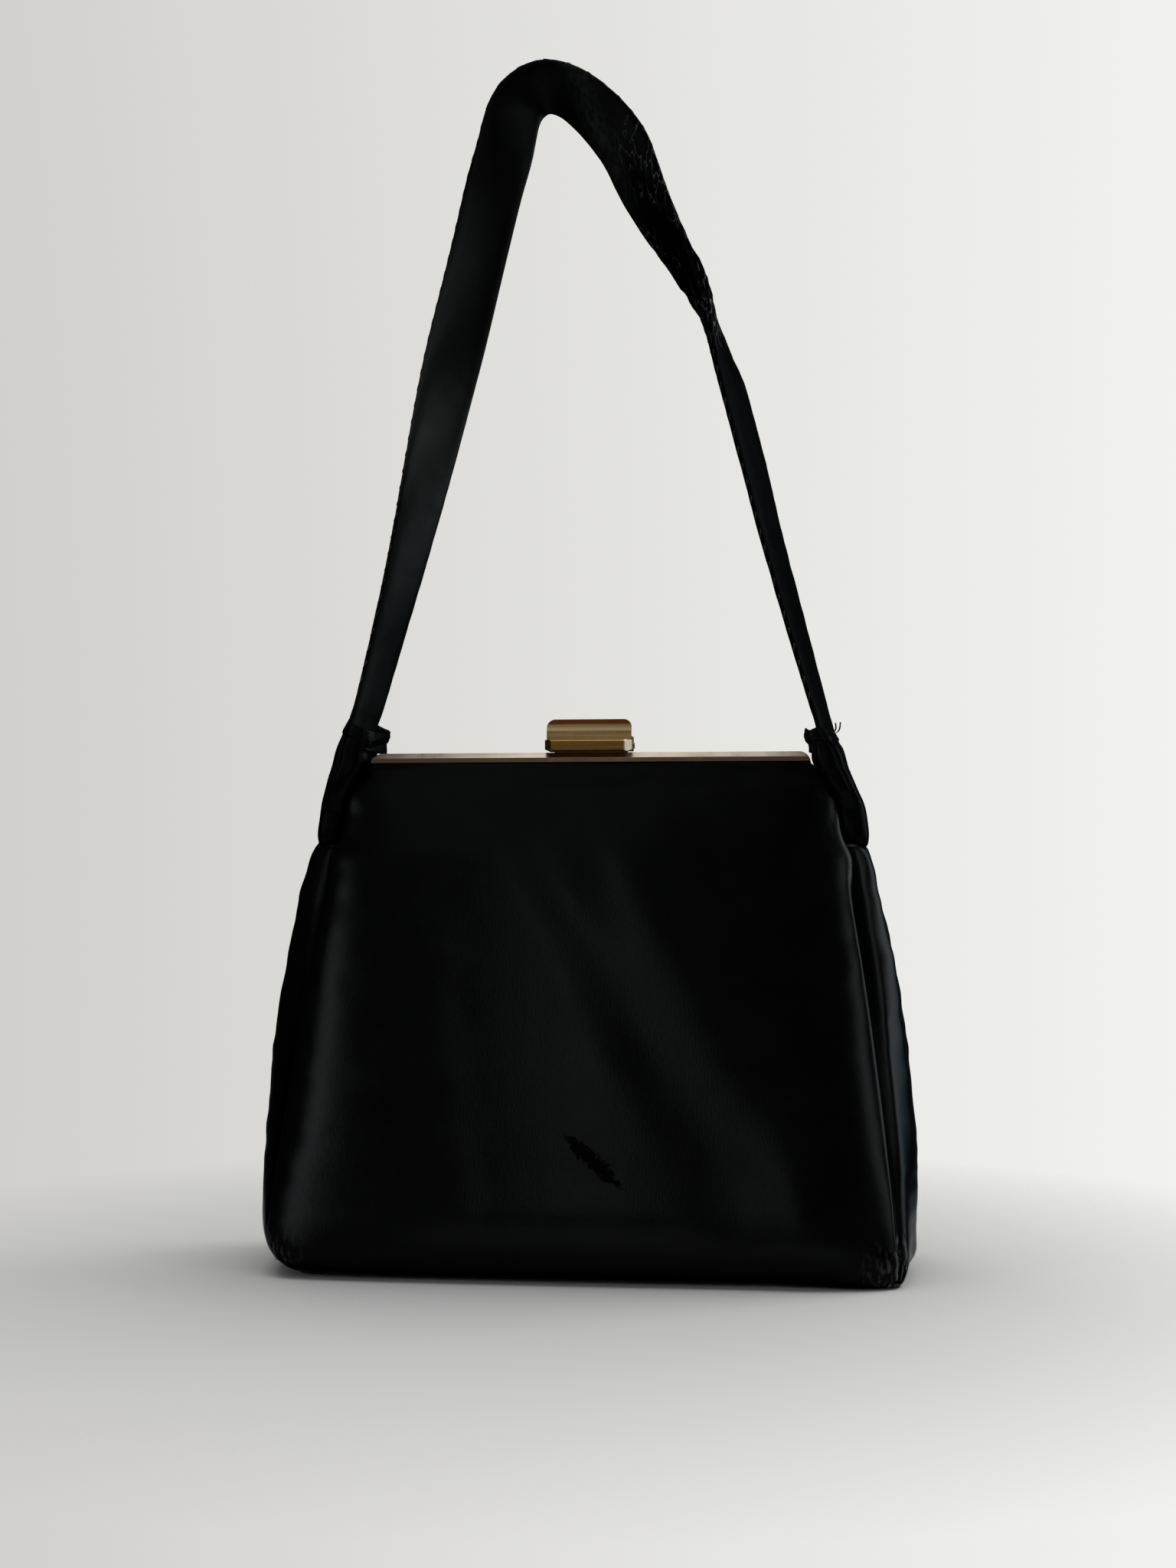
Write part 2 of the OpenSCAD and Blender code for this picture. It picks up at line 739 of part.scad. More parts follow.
// Tab stations: height above the frame, inner and outer X, half width, turn at the strap's mouth
tab_stations = [
  [-24.6, 69.6, 74.0, 2.0, 0], [-23.6, 69.5, 75.0, 3.0, 0], [-21.4, 69.4, 75.9, 4.1, 0],
  [-15.4, 69.0, 75.2, 4.3, 0], [-13.2, 68.0, 74.6, 6.2, 0], [-11, 67.2, 73.9, 7.8, 0],
  [-7, 65.8, 72.8, tab_half_w, 0], [-2, 63.6, 71.2, tab_half_w, 0], [3, 60.9, 69.0, tab_half_w, 0.5],
  [6.5, 60.3, 67.5, tab_half_w, 0.9], [9.4, 60.4, 66.0, tab_half_w, 1]
];
lug_top = 1.4;
module lug_profile(slack) {
  polygon([
    [lug_in - slack, hinge_z - 6 * slack],
    [lug_in - slack, hinge_z + 5.5],
    [65.6 - slack, body_h + lug_top + slack],
    [65.6 + lug_t + slack, body_h + lug_top + slack],
    [lug_in + lug_t + slack, hinge_z + 5.5],
    [lug_in + lug_t + slack, hinge_z - 6 * slack]
  ]);
}

// Strap tab: padded leaf of satin round the strap end and the lug, hollow below to hide the hinge
lug_half_y = 3.4;
tab_rivet_z = body_h - 6;
hinge_hollow = 3.2;
module tab_shape(turn) {
  difference() {
    tube([
      for (q = tab_stations)
        let (x = (q[1] + q[2]) / 2, a = turn * q[4])
        [for (p = oval(16, (q[2] - q[1]) / 2, q[3]))
          [x + p[0] * cos(a) - p[1] * sin(a), p[0] * sin(a) + p[1] * cos(a), body_h + q[0]]]
    ]);
    along_y(-lug_half_y - 0.15, lug_half_y + 0.15)
      lug_profile(0.15);
    translate([60, -hinge_hollow, hinge_z - 10])
      cube([lug_in + lug_t + 1 - 60, 2 * hinge_hollow, 10 + hinge_hollow]);
    bar_x(lug_in - 2, lug_in + lug_t + 1, eye_r + 0.15, 0, hinge_z);
    translate([63.35, 0, body_h + 9.2])
      rotate([0, -15, turn * 0.8])
        cube([strap_t + 0.4, strap_w + 0.4, 13.2], center = true);
    bar_x(60, 80, 0.8, 0, tab_rivet_z);
  }
}

module right_strap_tab() {
  color(satin) tab_shape(-right_turn);
}

module left_strap_tab() {
  color(satin) mirror([1, 0, 0]) tab_shape(left_turn);
}

// Handle lug: metal core of a tab, turning on the hinge rivet
module lug_shape() {
  difference() {
    union() {
      along_y(-lug_half_y, lug_half_y)
        lug_profile(0);
      bar_x(lug_in, lug_in + lug_t, eye_r, 0, hinge_z);
    }
    bar_x(lug_in - 1, lug_in + lug_t + 1, hinge_pin_r + run_gap, 0, hinge_z);
    bar_x(60, 80, 0.8, 0, tab_rivet_z);
  }
}

module right_lug() {
  color(steel) lug_shape();
}

module left_lug() {
  color(steel) mirror([1, 0, 0]) lug_shape();
}

// Rivets through each lug inside its tab
module lug_rivets() {
  color(steel)
    for (m = [0, 1])
      mirror([m, 0, 0])
        bar_x(66, 71, 0.8, 0, tab_rivet_z);
}

front_panel();
rear_panel();
left_gusset();
right_gusset();
base_panel();
base_board();
front_interlining();
rear_interlining();
front_lining();
rear_lining();
left_lining();
right_lining();
base_lining();
lining_pocket();
hinge_rivets();
front_frame();
front_facing();
catch_bar();
catch_rivets();
rear_frame();
rear_facing();
latch_bracket();
bracket_rivets();
latch_pin();
latch_spring();
latch_plate();
strap();
left_strap_tab();
right_strap_tab();
left_lug();
right_lug();
lug_rivets();
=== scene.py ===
import math

import bmesh
import bpy
from mathutils import Matrix, Quaternion, Vector, noise


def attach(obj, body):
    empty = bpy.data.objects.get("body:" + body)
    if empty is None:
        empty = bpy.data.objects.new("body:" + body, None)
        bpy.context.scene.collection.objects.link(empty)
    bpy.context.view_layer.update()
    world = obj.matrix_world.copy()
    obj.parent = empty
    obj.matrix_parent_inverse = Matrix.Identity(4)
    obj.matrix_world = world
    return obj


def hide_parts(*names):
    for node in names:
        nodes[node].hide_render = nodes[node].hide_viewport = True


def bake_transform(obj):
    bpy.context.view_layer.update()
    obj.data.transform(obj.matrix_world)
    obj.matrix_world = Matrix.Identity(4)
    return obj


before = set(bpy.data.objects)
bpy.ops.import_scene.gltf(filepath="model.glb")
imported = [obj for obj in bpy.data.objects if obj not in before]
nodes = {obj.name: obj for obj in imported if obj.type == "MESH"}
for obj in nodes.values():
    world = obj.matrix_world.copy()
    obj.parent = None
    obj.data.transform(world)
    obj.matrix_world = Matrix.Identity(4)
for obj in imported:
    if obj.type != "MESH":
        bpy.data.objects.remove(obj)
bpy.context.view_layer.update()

# Camera
# Level with the upper part of the pouch and a little to the right of its middle. The bag fills most
# of a tall picture, so the view is shifted upwards to take in the whole strap.
photo_w, photo_h = 1536, 2048
horizon_px = 1136
centre_px = 771
eye_height = 0.108
eye_distance = 0.598
eye_turn = math.radians(6.5)
lens_mm, film_mm = 50, 36
near_clip = 0.05
camera_data = bpy.data.cameras.new("camera")
camera_data.lens = lens_mm
camera_data.sensor_width = film_mm
camera_data.shift_x = (photo_w / 2 - centre_px) / photo_h
camera_data.shift_y = (horizon_px - photo_h / 2) / photo_h
camera_data.clip_start = near_clip
camera = bpy.data.objects.new("camera", camera_data)
eye_x, eye_y = eye_distance * math.sin(eye_turn), -eye_distance * math.cos(eye_turn)
camera.location = (eye_x, eye_y, eye_height)
camera.rotation_euler = (math.radians(90), 0, eye_turn)
bpy.context.collection.objects.link(camera)
bpy.context.scene.camera = camera
bpy.context.scene.view_settings.view_transform = "Standard"


# Floor, background and light
# A pale matt floor that fades into an equally pale background. Large soft lights stand on the right
# and overhead, narrow ones at the left, the front and the right front, and a weak one high in front.
def add_node(tree, kind, inputs=None, **settings):
    """A new node with its settings, and with its inputs linked or set."""
    made = tree.nodes.new(kind)
    for key, value in settings.items():
        setattr(made, key, value)
    for key, value in (inputs or {}).items():
        if isinstance(value, bpy.types.NodeSocket):
            tree.links.new(value, made.inputs[key])
        else:
            made.inputs[key].default_value = value
    return made


def ramp(tree, factor, low, high, from_value=0.0, to_value=1.0):
    """The factor's stretch from low to high, as from_value to to_value."""
    made = add_node(tree, "ShaderNodeMapRange", {"Value": factor, "From Min": low, "From Max": high})
    made.inputs["To Min"].default_value = from_value
    made.inputs["To Max"].default_value = to_value
    return made.outputs["Result"]


def mix_colours(tree, factor, first, second):
    """The first colour where the factor is 0, the second where it is 1."""
    made = add_node(tree, "ShaderNodeMix", {"Factor": factor}, data_type="RGBA")
    colours = [s for s in made.inputs if s.type == "RGBA"]
    for socket, value in zip(colours, (first, second)):
        if isinstance(value, bpy.types.NodeSocket):
            tree.links.new(value, socket)
        else:
            socket.default_value = (*value, 1)
    return [s for s in made.outputs if s.type == "RGBA"][0]


def noise_at(tree, place, scale, detail, roughness=0.5):
    """Noise by place. A scale for each axis stretches it."""
    if isinstance(scale, tuple):
        stretched = add_node(tree, "ShaderNodeMapping", {"Vector": place, "Scale": scale})
        place, scale = stretched.outputs[0], 1.0
    inputs = {"Vector": place, "Scale": scale, "Detail": detail, "Roughness": roughness}
    return add_node(tree, "ShaderNodeTexNoise", inputs).outputs[0]


def new_material(name):
    """A new material, with its node tree, its shader and the place on the object."""
    material = bpy.data.materials.new(name)
    material.use_nodes = True
    tree = material.node_tree
    place = add_node(tree, "ShaderNodeTexCoord").outputs["Object"]
    return material, tree, tree.nodes["Principled BSDF"], place


left_pale = (0.62, 0.61, 0.585)
right_pale = (0.90, 0.90, 0.885)
pale_from, pale_to = -0.40, 0.18
ambient_colour = (0.86, 0.92, 0.96, 1)
ambient_level = 0.05
world = bpy.data.worlds.new("studio")
bpy.context.scene.world = world
world.use_nodes = True
sky = world.node_tree
sky.nodes.clear()
gaze = add_node(sky, "ShaderNodeTexCoord").outputs["Generated"]
gaze_x = add_node(sky, "ShaderNodeSeparateXYZ", {0: gaze}).outputs["X"]
backdrop = mix_colours(sky, ramp(sky, gaze_x, pale_from, pale_to), left_pale, right_pale)
pale = add_node(sky, "ShaderNodeBackground", {"Color": backdrop, "Strength": 1})
ambient = add_node(sky, "ShaderNodeBackground", {"Color": ambient_colour, "Strength": ambient_level})
seen = add_node(sky, "ShaderNodeLightPath").outputs["Is Camera Ray"]
either = add_node(sky, "ShaderNodeMixShader", {0: seen, 1: ambient.outputs[0], 2: pale.outputs[0]})
add_node(sky, "ShaderNodeOutputWorld", {"Surface": either.outputs[0]})


def soft_light(name, place, aim, width, height, watts, lean=0):
    """A rectangular light that faces its aim, leaned over by some degrees."""
    lamp = bpy.data.lights.new(name, "AREA")
    lamp.shape = "RECTANGLE"
    lamp.size = width
    lamp.size_y = height
    lamp.energy = watts
    holder = bpy.data.objects.new(name, lamp)
    holder.location = place
    facing = (Vector(aim) - Vector(place)).to_track_quat("-Z", "Y")
    turn = facing @ Quaternion((0, 0, 1), math.radians(lean))
    holder.rotation_euler = turn.to_euler()
    bpy.context.collection.objects.link(holder)


bag_middle = (0, 0, 0.12)
front_aim = (0, 0, 0.57)
top_aim = (0, 0.10, 0)
soft_light("right_light", (1.12, 0.40, 0.40), bag_middle, width=0.8, height=1.0, watts=9)
soft_light("right_front_light", (1.05, -0.62, 0.30), bag_middle, width=0.25, height=0.9, watts=1.2)
soft_light("left_light", (-0.82, -0.86, 0.30), bag_middle, width=0.20, height=0.80, watts=0.88, lean=28)
soft_light("front_light", (-0.205, -1.50, 0.57), front_aim, width=0.18, height=1.08, watts=0.52, lean=8)
soft_light("upper_light", (-0.26, -0.82, 1.02), bag_middle, width=0.6, height=0.6, watts=0.23)
soft_light("top_light", (0, 0.10, 1.35), top_aim, width=1.6, height=1.0, watts=8)

floor_reach = 2.2
floor_sides = 96
floor_drop = 0.0004
floor_dark = (0.88, 0.88, 0.865)
floor_light = (0.92, 0.92, 0.905)
fade_from, fade_to = 0.08, 0.25
bm = bmesh.new()
bmesh.ops.create_circle(bm, cap_ends=True, segments=floor_sides, radius=floor_reach)
bmesh.ops.translate(bm, verts=bm.verts, vec=(0, 0, -floor_drop))
floor_mesh = bpy.data.meshes.new("floor")
bm.to_mesh(floor_mesh)
bm.free()
floor = bpy.data.objects.new("floor", floor_mesh)
bpy.context.collection.objects.link(floor)
floor_paint, tree, shader, place = new_material("floor_paint")
mottled = mix_colours(tree, noise_at(tree, place, scale=9.0, detail=4.0), floor_dark, floor_light)
tree.links.new(mottled, shader.inputs["Base Color"])
shader.inputs["Roughness"].default_value = 0.9
shader.inputs["Specular IOR Level"].default_value = 0.1
distance = add_node(tree, "ShaderNodeVectorMath", {0: place}, operation="LENGTH").outputs["Value"]
fade = ramp(tree, distance, fade_from, fade_to)
clear = add_node(tree, "ShaderNodeBsdfTransparent")
faded = add_node(tree, "ShaderNodeMixShader", {0: fade, 1: shader.outputs[0], 2: clear.outputs[0]})
tree.links.new(faded.outputs[0], tree.nodes["Material Output"].inputs["Surface"])
floor_mesh.materials.append(floor_paint)


# Front and rear panels
# Black satin laid over felt, cut as a tall trapezoid. The side edges roll back to the gusset seams,
# the foot turns under to the base, and the upper edge is clamped inside the frame rail.
body_h = 0.140
body_d = 0.064
depth_top = 0.0042
depth_power = 1.9
seam_w_top = 0.0615
seam_w_base = 0.085
width_power = 1.3
width_ease = 0.7
base_r = 0.008
foot_angle = math.radians(14)
crown = 0.0012
edge_roll = 0.007
edge_roll_share = 0.4
edge_power = 8
flat_by_arms = 0.75
corner_h = 0.034
flat_at_corner = 0.65
soft_roll = 0.0025
soft_roll_at = (0.055, 0.028)
hinge_z = body_h - 0.0215
arm_bend = 0.005
panel_top = body_h - 0.003
skin_t = 0.0008


def clamp(value):
    return max(0.0, min(1.0, value))


def ease(value, start, span):
    """Rises smoothly from 0 at the start to 1 a span further on."""
    share = clamp((value - start) / span)
    return share * share * (3 - 2 * share)


def hump(value, middle, reach):
    """A smooth hump, 1 at the middle and low past its reach on either side."""
    return math.exp(-(((value - middle) / reach) ** 2))


def half_depth(z):
    """From the middle of the bag to the front of the panel, at a height."""
    return depth_top + (body_d / 2 - depth_top) * (1 - (z / body_h) ** depth_power)


def half_width(z):
    """From the middle of the bag to the gusset seams, at a height."""
    spread = (1 - (min(z, body_h) / body_h) ** width_power) ** width_ease
    return seam_w_top + (seam_w_base - seam_w_top) * spread


def roll(z):
    """How far back the side edges of a panel roll, less between the arms and at the corners."""
    flatten = clamp((z - hinge_z - arm_bend) / (panel_top - hinge_z - arm_bend))
    corner = max(0.0, 1 - z / corner_h)
    full = min(edge_roll, edge_roll_share * half_depth(z))
    slack = soft_roll * hump(z, *soft_roll_at)
    return full * (1 - flat_by_arms * flatten) * (1 - flat_at_corner * corner) + slack


def seam_y(z):
    return half_depth(z) - roll(z) - crown


def panel_y(s, z):
    """Depth of the panel, s from -1 at one seam to 1 at the other."""
    return seam_y(z) + roll(z) * math.sqrt(max(0, 1 - abs(s) ** edge_power)) + crown * (1 - s * s)


def wall_station(share, top, depth=0.0):
    """Inset and height at a share of the way up a side, round its lower edge and then straight."""
    foot = base_r * (math.pi / 2 - foot_angle)
    run = share * (foot + top - base_r)
    if run > foot:
        return depth, base_r + run - foot
    turn = foot_angle + run / base_r
    return base_r - (base_r - depth) * math.sin(turn), base_r - (base_r - depth) * math.cos(turn)


def cloth_mesh(grid, place, flat, thickness=None):
    """A grid of cloth laid where place(across, along) says, with its flat size as its UV map."""
    made = bmesh.new()
    uv = made.loops.layers.uv.new("cloth")
    bmesh.ops.create_grid(made, x_segments=grid[0], y_segments=grid[1], size=1, calc_uvs=True)
    for vert in made.verts:
        vert.co = place(vert.co.x, (vert.co.y + 1) / 2)
    for face in made.faces:
        for loop in face.loops:
            loop[uv].uv = (loop[uv].uv.x * flat[0], loop[uv].uv.y * flat[1])
    made.normal_update()
    if thickness:
        bmesh.ops.solidify(made, geom=made.faces[:], thickness=thickness)
    return made


def finish_piece(made, name, material):
    """The piece made from a bmesh, with its material."""
    mesh = bpy.data.meshes.new(name)
    made.to_mesh(mesh)
    made.free()
    mesh.materials.append(material)
    mesh.shade_smooth()
    piece = bpy.data.objects.new(name, mesh)
    bpy.context.collection.objects.link(piece)
    return piece


def maths(tree, operation, first, second=0.0):
    return add_node(tree, "ShaderNodeMath", {0: first, 1: second}, operation=operation).outputs[0]


def product(tree, first, *others):
    """All the factors multiplied."""
    for other in others:
        first = maths(tree, "MULTIPLY", first, other)
    return first


def layered(tree, first, *others):
    """The first height plus the others, each with its weight."""
    for height, weight in others:
        first = maths(tree, "ADD", first, maths(tree, "MULTIPLY", height, weight))
    return first


def set_surface(tree, shader, colour, rough, height, strength, depth):
    """Links a colour, a roughness and a height, which becomes a bump, to the shader."""
    bump = add_node(tree, "ShaderNodeBump", {"Height": height, "Strength": strength, "Distance": depth})
    tree.links.new(colour, shader.inputs["Base Color"])
    tree.links.new(rough, shader.inputs["Roughness"])
    tree.links.new(bump.outputs[0], shader.inputs["Normal"])


satin_dark = (0.010, 0.0105, 0.0108)
satin_light = (0.016, 0.0168, 0.0172)
lint_grey = (0.035, 0.036, 0.036)
# deep_shade is the colour of painted shade.
deep_shade = (0.002, 0.002, 0.002)
# Grey of the frayed corners and of the painted highlight on the right shoulder.
wear_and_highlight_grey = (0.055, 0.058, 0.057)
cracked_grey = (0.13, 0.135, 0.135)
sheen_tint = (0.4, 0.42, 0.43, 1)
warp_scale = (3600, 420, 1)
weft_scale = (500, 2600, 1)
fray_scale = (900, 900, 300)
shoulder_x = 0.1076
shoulder_slope = 0.34


def wear_and_shoulder_highlight(tree, place, axes):
    """Frayed satin at the lower corners and a painted highlight along the edge of the right shoulder.
    """
    corner = product(
        tree,
        ramp(tree, axes["Z"], 0.016, 0.004),
        ramp(tree, maths(tree, "ABSOLUTE", axes["X"]), 0.072, 0.082),
        ramp(tree, maths(tree, "ABSOLUTE", axes["Y"]), 0.019, 0.026),
    )
    # Painted highlight: a paler band along the edge of the right shoulder, standing for the light it
    # catches from the right.
    edge_x = maths(tree, "SUBTRACT", shoulder_x, maths(tree, "MULTIPLY", axes["Z"], shoulder_slope))
    off_edge = maths(tree, "ABSOLUTE", maths(tree, "SUBTRACT", axes["X"], edge_x))
    shoulder = product(tree, ramp(tree, off_edge, 0.005, 0.0005), ramp(tree, axes["Z"], 0.096, 0.116))
    fray = noise_at(tree, place, scale=fray_scale, detail=3.0)
    worn = product(tree, corner, ramp(tree, fray, 0.50, 0.66))
    shoulder_highlight = product(tree, shoulder, ramp(tree, fray, 0.30, 0.62, 0.0, 0.25))
    return maths(tree, "MAXIMUM", worn, shoulder_highlight)


def satin(name, snag=False, tone=1.0, dulled=0.0, shade=None, cracks=None):
    """Black satin: fine warp floats, slubs, lint, painted shade at the foot, a cool sheen, worn corners
    and a painted highlight on the right shoulder.

    shade adds a piece's own painted shade and painted highlights, and cracks its own pale lines.
    """
    material, tree, shader, place = new_material(name)
    axes = add_node(tree, "ShaderNodeSeparateXYZ", {0: place}).outputs
    cloth = add_node(tree, "ShaderNodeUVMap", uv_map="cloth").outputs[0]
    warp = noise_at(tree, cloth, scale=warp_scale, detail=2.0)
    weft = noise_at(tree, cloth, scale=weft_scale, detail=1.0)
    slub = noise_at(tree, place, scale=85.0, detail=5.0, roughness=0.6)
    lint = noise_at(tree, place, scale=900.0, detail=2.0)
    dark = [tone * v for v in satin_dark]
    light = [tone * v for v in satin_light]
    colour = mix_colours(tree, slub, dark, light)
    colour = mix_colours(tree, ramp(tree, lint, 0.74, 0.80, 0.0, 0.6), colour, lint_grey)
    # Painted shade: the satin darkens towards the foot.
    colour = mix_colours(tree, ramp(tree, axes["Z"], 0.0165, 0.0075, 0.0, 0.72), colour, deep_shade)
    if shade:
        across = add_node(tree, "ShaderNodeSeparateXYZ", {0: cloth}).outputs["X"]
        colour = shade(tree, across, axes, colour)
    # worn holds the frayed corners, any cracks, and the painted highlight on the right shoulder.
    worn = wear_and_shoulder_highlight(tree, place, axes)
    if cracks:
        worn = maths(tree, "MAXIMUM", worn, cracks(tree, place, axes))
    colour = mix_colours(tree, worn, colour, cracked_grey if cracks else wear_and_highlight_grey)
    rough = ramp(tree, slub, 0.3, 0.7, 0.19 + dulled, 0.26 + dulled)
    threads = layered(tree, warp, (weft, 0.4), (slub, 1.2))
    if snag:
        colour, rough, threads = snagged(tree, place, colour, rough, threads)
    set_surface(tree, shader, colour, rough, threads, strength=0.11, depth=0.0002)
    tree.links.new(ramp(tree, worn, 0.0, 1.0, 0.95, 0.0), shader.inputs["Metallic"])
    shader.inputs["Specular IOR Level"].default_value = 0.1
    shader.inputs["Specular Tint"].default_value = sheen_tint
    return material


snag_from = (-0.0036, 0.0394)
snag_to = (0.0122, 0.0250)
snag_half_w = 0.0016
snag_end_w = -0.0008
snag_blur = 0.0002
snag_wander = 0.0075
snag_black = (0.003, 0.003, 0.003)


def snagged(tree, place, colour, rough, threads):
    """Darkens and roughens the satin along a slanting snag with a ragged outline."""
    middle = ((snag_from[0] + snag_to[0]) / 2, 0, (snag_from[1] + snag_to[1]) / 2)
    length = math.dist(snag_from, snag_to)
    slant = math.atan2(snag_to[1] - snag_from[1], snag_to[0] - snag_from[0])
    centred = add_node(tree, "ShaderNodeVectorMath", {0: place, 1: middle}, operation="SUBTRACT")
    turned = add_node(
        tree, "ShaderNodeVectorRotate", {"Vector": centred.outputs[0], "Angle": slant},
        rotation_type="Y_AXIS",
    )
    ragged = noise_at(tree, place, scale=640.0, detail=5.0, roughness=0.8)
    wander = maths(tree, "MULTIPLY", maths(tree, "SUBTRACT", ragged, 0.5), snag_wander)
    axes = add_node(tree, "ShaderNodeSeparateXYZ", {0: turned.outputs[0]}).outputs
    across = maths(tree, "ABSOLUTE", maths(tree, "ADD", axes["Z"], wander))
    along = maths(tree, "ABSOLUTE", maths(tree, "ADD", axes["X"], wander))
    narrowing = ramp(tree, along, 0.25 * length, 0.60 * length, snag_half_w, snag_end_w)
    mask = ramp(tree, maths(tree, "SUBTRACT", across, narrowing), snag_blur, -snag_blur)
    colour = mix_colours(tree, mask, colour, snag_black)
    rough = layered(tree, rough, (mask, 0.4))
    threads = layered(tree, threads, (mask, -1.5))
    return colour, rough, threads


# Slanting drops of the satin from one slack stretch to the next: x at the frame, x at the foot,
# half width, drop at the frame and drop at the foot
front_drops = [
    (-0.0250, 0.0400, 0.0080, 0.0009, 0.0001),
    (-0.0080, 0.0580, 0.0110, -0.0010, -0.0008),
    (-0.0440, -0.0240, 0.0060, 0.0001, 0.0003),
]
rear_drops = [
    (0.0300, -0.0200, 0.0090, 0.0006, 0.0008),
    (-0.0300, -0.0520, 0.0080, 0.0005, 0.0003),
]
drop_low, drop_span = 0.010, 0.115
drop_wander = 0.002
wander_rate = 40
# Fuller places: x, height, half width, half height and lift
front_swells = [(0.061, 0.014, 0.014, 0.038, 0.0016), (0.009, 0.100, 0.014, 0.034, 0.0004)]
rear_swells = [(-0.050, 0.020, 0.012, 0.040, 0.0010), (0.048, 0.030, 0.016, 0.030, 0.0007)]
swell_foot = 0.012
pillow = 0.0020
pillow_foot = 0.02
pillow_end = (0.112, 0.022)
foot_swell = 0.0011
foot_swell_h = 0.032
ripple_h = 0.0004
ripple_rate = 160
ripple_low, ripple_span = 0.8, 0.2
ripple_end = (0.126, 0.011)
# The foot: its right front corner is pointed and its left edge is rounded away
corner_point = 0.7
point_reach = (0.6, 0.35)
left_trim = 0.0032
trim_h = 0.013
trim_reach = (0.7, 0.3)
# The seams are drawn in below the shoulders, which flare and then give way to the lugs
seam_groove = 0.0018
left_groove_share = 0.3
groove_w = 0.015
groove_end = (0.095, 0.015)
shoulder_flare = 0.0007
flare_start, flare_end = (0.104, 0.008), (0.1115, 0.0045)
lug_room = 0.0005
lug_at = (0.118, 0.0035)
# The upper edge is drawn in and tucked into the rail
tuck_y = 0.0043
tuck_w = 0.0588
tuck_top = body_h - 0.0017
tuck_low, tuck_span, tuck_power = 0.127, 0.011, 3.6
rail_press = 0.0010
press_from = (0.128, 0.0096)
tuck_from = (0.1362, 0.0013)


def trim(z):
    """How far the left edge of the foot is rounded away at a height."""
    return left_trim * (1 - ease(z, 0, trim_h))


def groove_depth(side):
    """How deep a seam is drawn in, on the right where side is positive."""
    return seam_groove if side > 0 else left_groove_share * seam_groove


def panel_place(drops, swells, facing):
    """Where a panel's satin lies. The rear panel is turned half round."""
    def place(across, share):
        s = math.sin(across * math.pi / 2)
        inset, z = wall_station(share, tuck_top)
        if facing > 0:
            inset *= 1 - corner_point * ease(s, *point_reach)
        width = half_width(z) - inset
        if facing * s < 0:
            width -= trim(z) * ease(abs(s), *trim_reach)
        width += shoulder_flare * ease(z, *flare_start) * (1 - ease(z, *flare_end))
        width -= lug_room * hump(z, *lug_at)
        width += (tuck_w - width) * clamp((z - tuck_low) / tuck_span) ** tuck_power
        groove = hump(abs(s), 1, groove_w) * (1 - ease(z, *groove_end))
        x = s * (width - groove_depth(facing * s) * groove)
        y = panel_y(s, z) - inset
        height = clamp((z - drop_low) / drop_span)
        inner = (1 - s ** 6) * ease(z, 0, pillow_foot) * (1 - ease(z, *pillow_end))
        y += pillow * (1 - s * s) ** 2 * inner
        for top_x, foot_x, half, top_drop, foot_drop in drops:
            wander = drop_wander * noise.noise(Vector((z * wander_rate, 100 * half, facing)))
            line = foot_x + (top_x - foot_x) * height + wander
            drop = foot_drop + (top_drop - foot_drop) * height
            y += drop * inner * (0.5 - ease(x, line - half, 2 * half)) * (1 - s * s)
        for at_x, at_z, half_x, half_z, lift in swells:
            y += lift * ease(z, 0, swell_foot) * hump(x, at_x, half_x) * hump(z, at_z, half_z)
        seam = clamp((abs(s) - ripple_low) / ripple_span)
        ripple = noise.noise(Vector((3 * s, facing * 2, z * ripple_rate)))
        y += ripple_h * ripple * seam * (1 - ease(z, *ripple_end))
        y += foot_swell * (1 - ease(z, 0, foot_swell_h)) * (1 - s ** 8)
        y -= rail_press * ease(z, *press_from)
        y += (tuck_y - y) * ease(z, *tuck_from)
        return Vector((facing * x, -facing * y, z))
    return place


panel_grid = (110, 110)
panel_flat = (2 * seam_w_base, 0.154)
front_satin = satin("front_satin", snag=True)
plain_satin = satin("plain_satin")
for side, facing, drops, swells, material in (
    ("front", 1, front_drops, front_swells, front_satin),
    ("rear", -1, rear_drops, rear_swells, plain_satin),
):
    bm = cloth_mesh(panel_grid, panel_place(drops, swells, facing), panel_flat, skin_t)
    panel = finish_piece(bm, f"{side}_satin_panel", material)
    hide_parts(f"{side}_panel")
    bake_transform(panel)


# Gussets
# The same satin, soft and without board, gathered into the side seams. Each swells past its seams,
# folds in along its middle, turns in under the hinge and ends in a tongue between the frame arms.
left_bulge = 0.0110
right_bulge = 0.0088
bulge_power = 0.8
gusset_top = hinge_z - 0.0045
swell_low = 0.014
swell_span = gusset_top + 0.100
swell_power = 0.72
swell_end = gusset_top - 0.014
swell_end_r = 0.0195
gusset_crease = 0.004
crease_low = 0.030
crease_span = gusset_top - 0.010
crease_reach = 0.004
# Wrinkles: lift, waves to the metre across and along, and a seed
gusset_wrinkles = [(0.0007, 90, 45, 5), (0.0004, 60, 220, 9)]
gusset_groove_w = 0.070
point_depth = (0.3, 0.6)
# Shares of the cloth's length that reach the top of the side and the foot of the tongue
wall_share = 0.80
roof_share = 0.86
gusset_ear = 0.0009
ear_from = (0.0036, 0.0012)
ear_share = 0.05
gusset_rim = 0.0016
rim_from = (0.0735, 0.003)
gusset_rim_share = 0.06
tongue_top = body_h - 0.005
tongue_gap = 0.0002
# Painted shade in the valleys of the gusset seams.
painted_seam_shade = (0.001, 0.001, 0.001)


def swell(z):
    """How full the gusset is at a height, from 0 to 1."""
    shoulder = math.sqrt(max(0, 1 - (max(0, z - swell_end) / swell_end_r) ** 2))
    return math.sin(math.pi * (z + swell_low) / swell_span) ** swell_power * shoulder


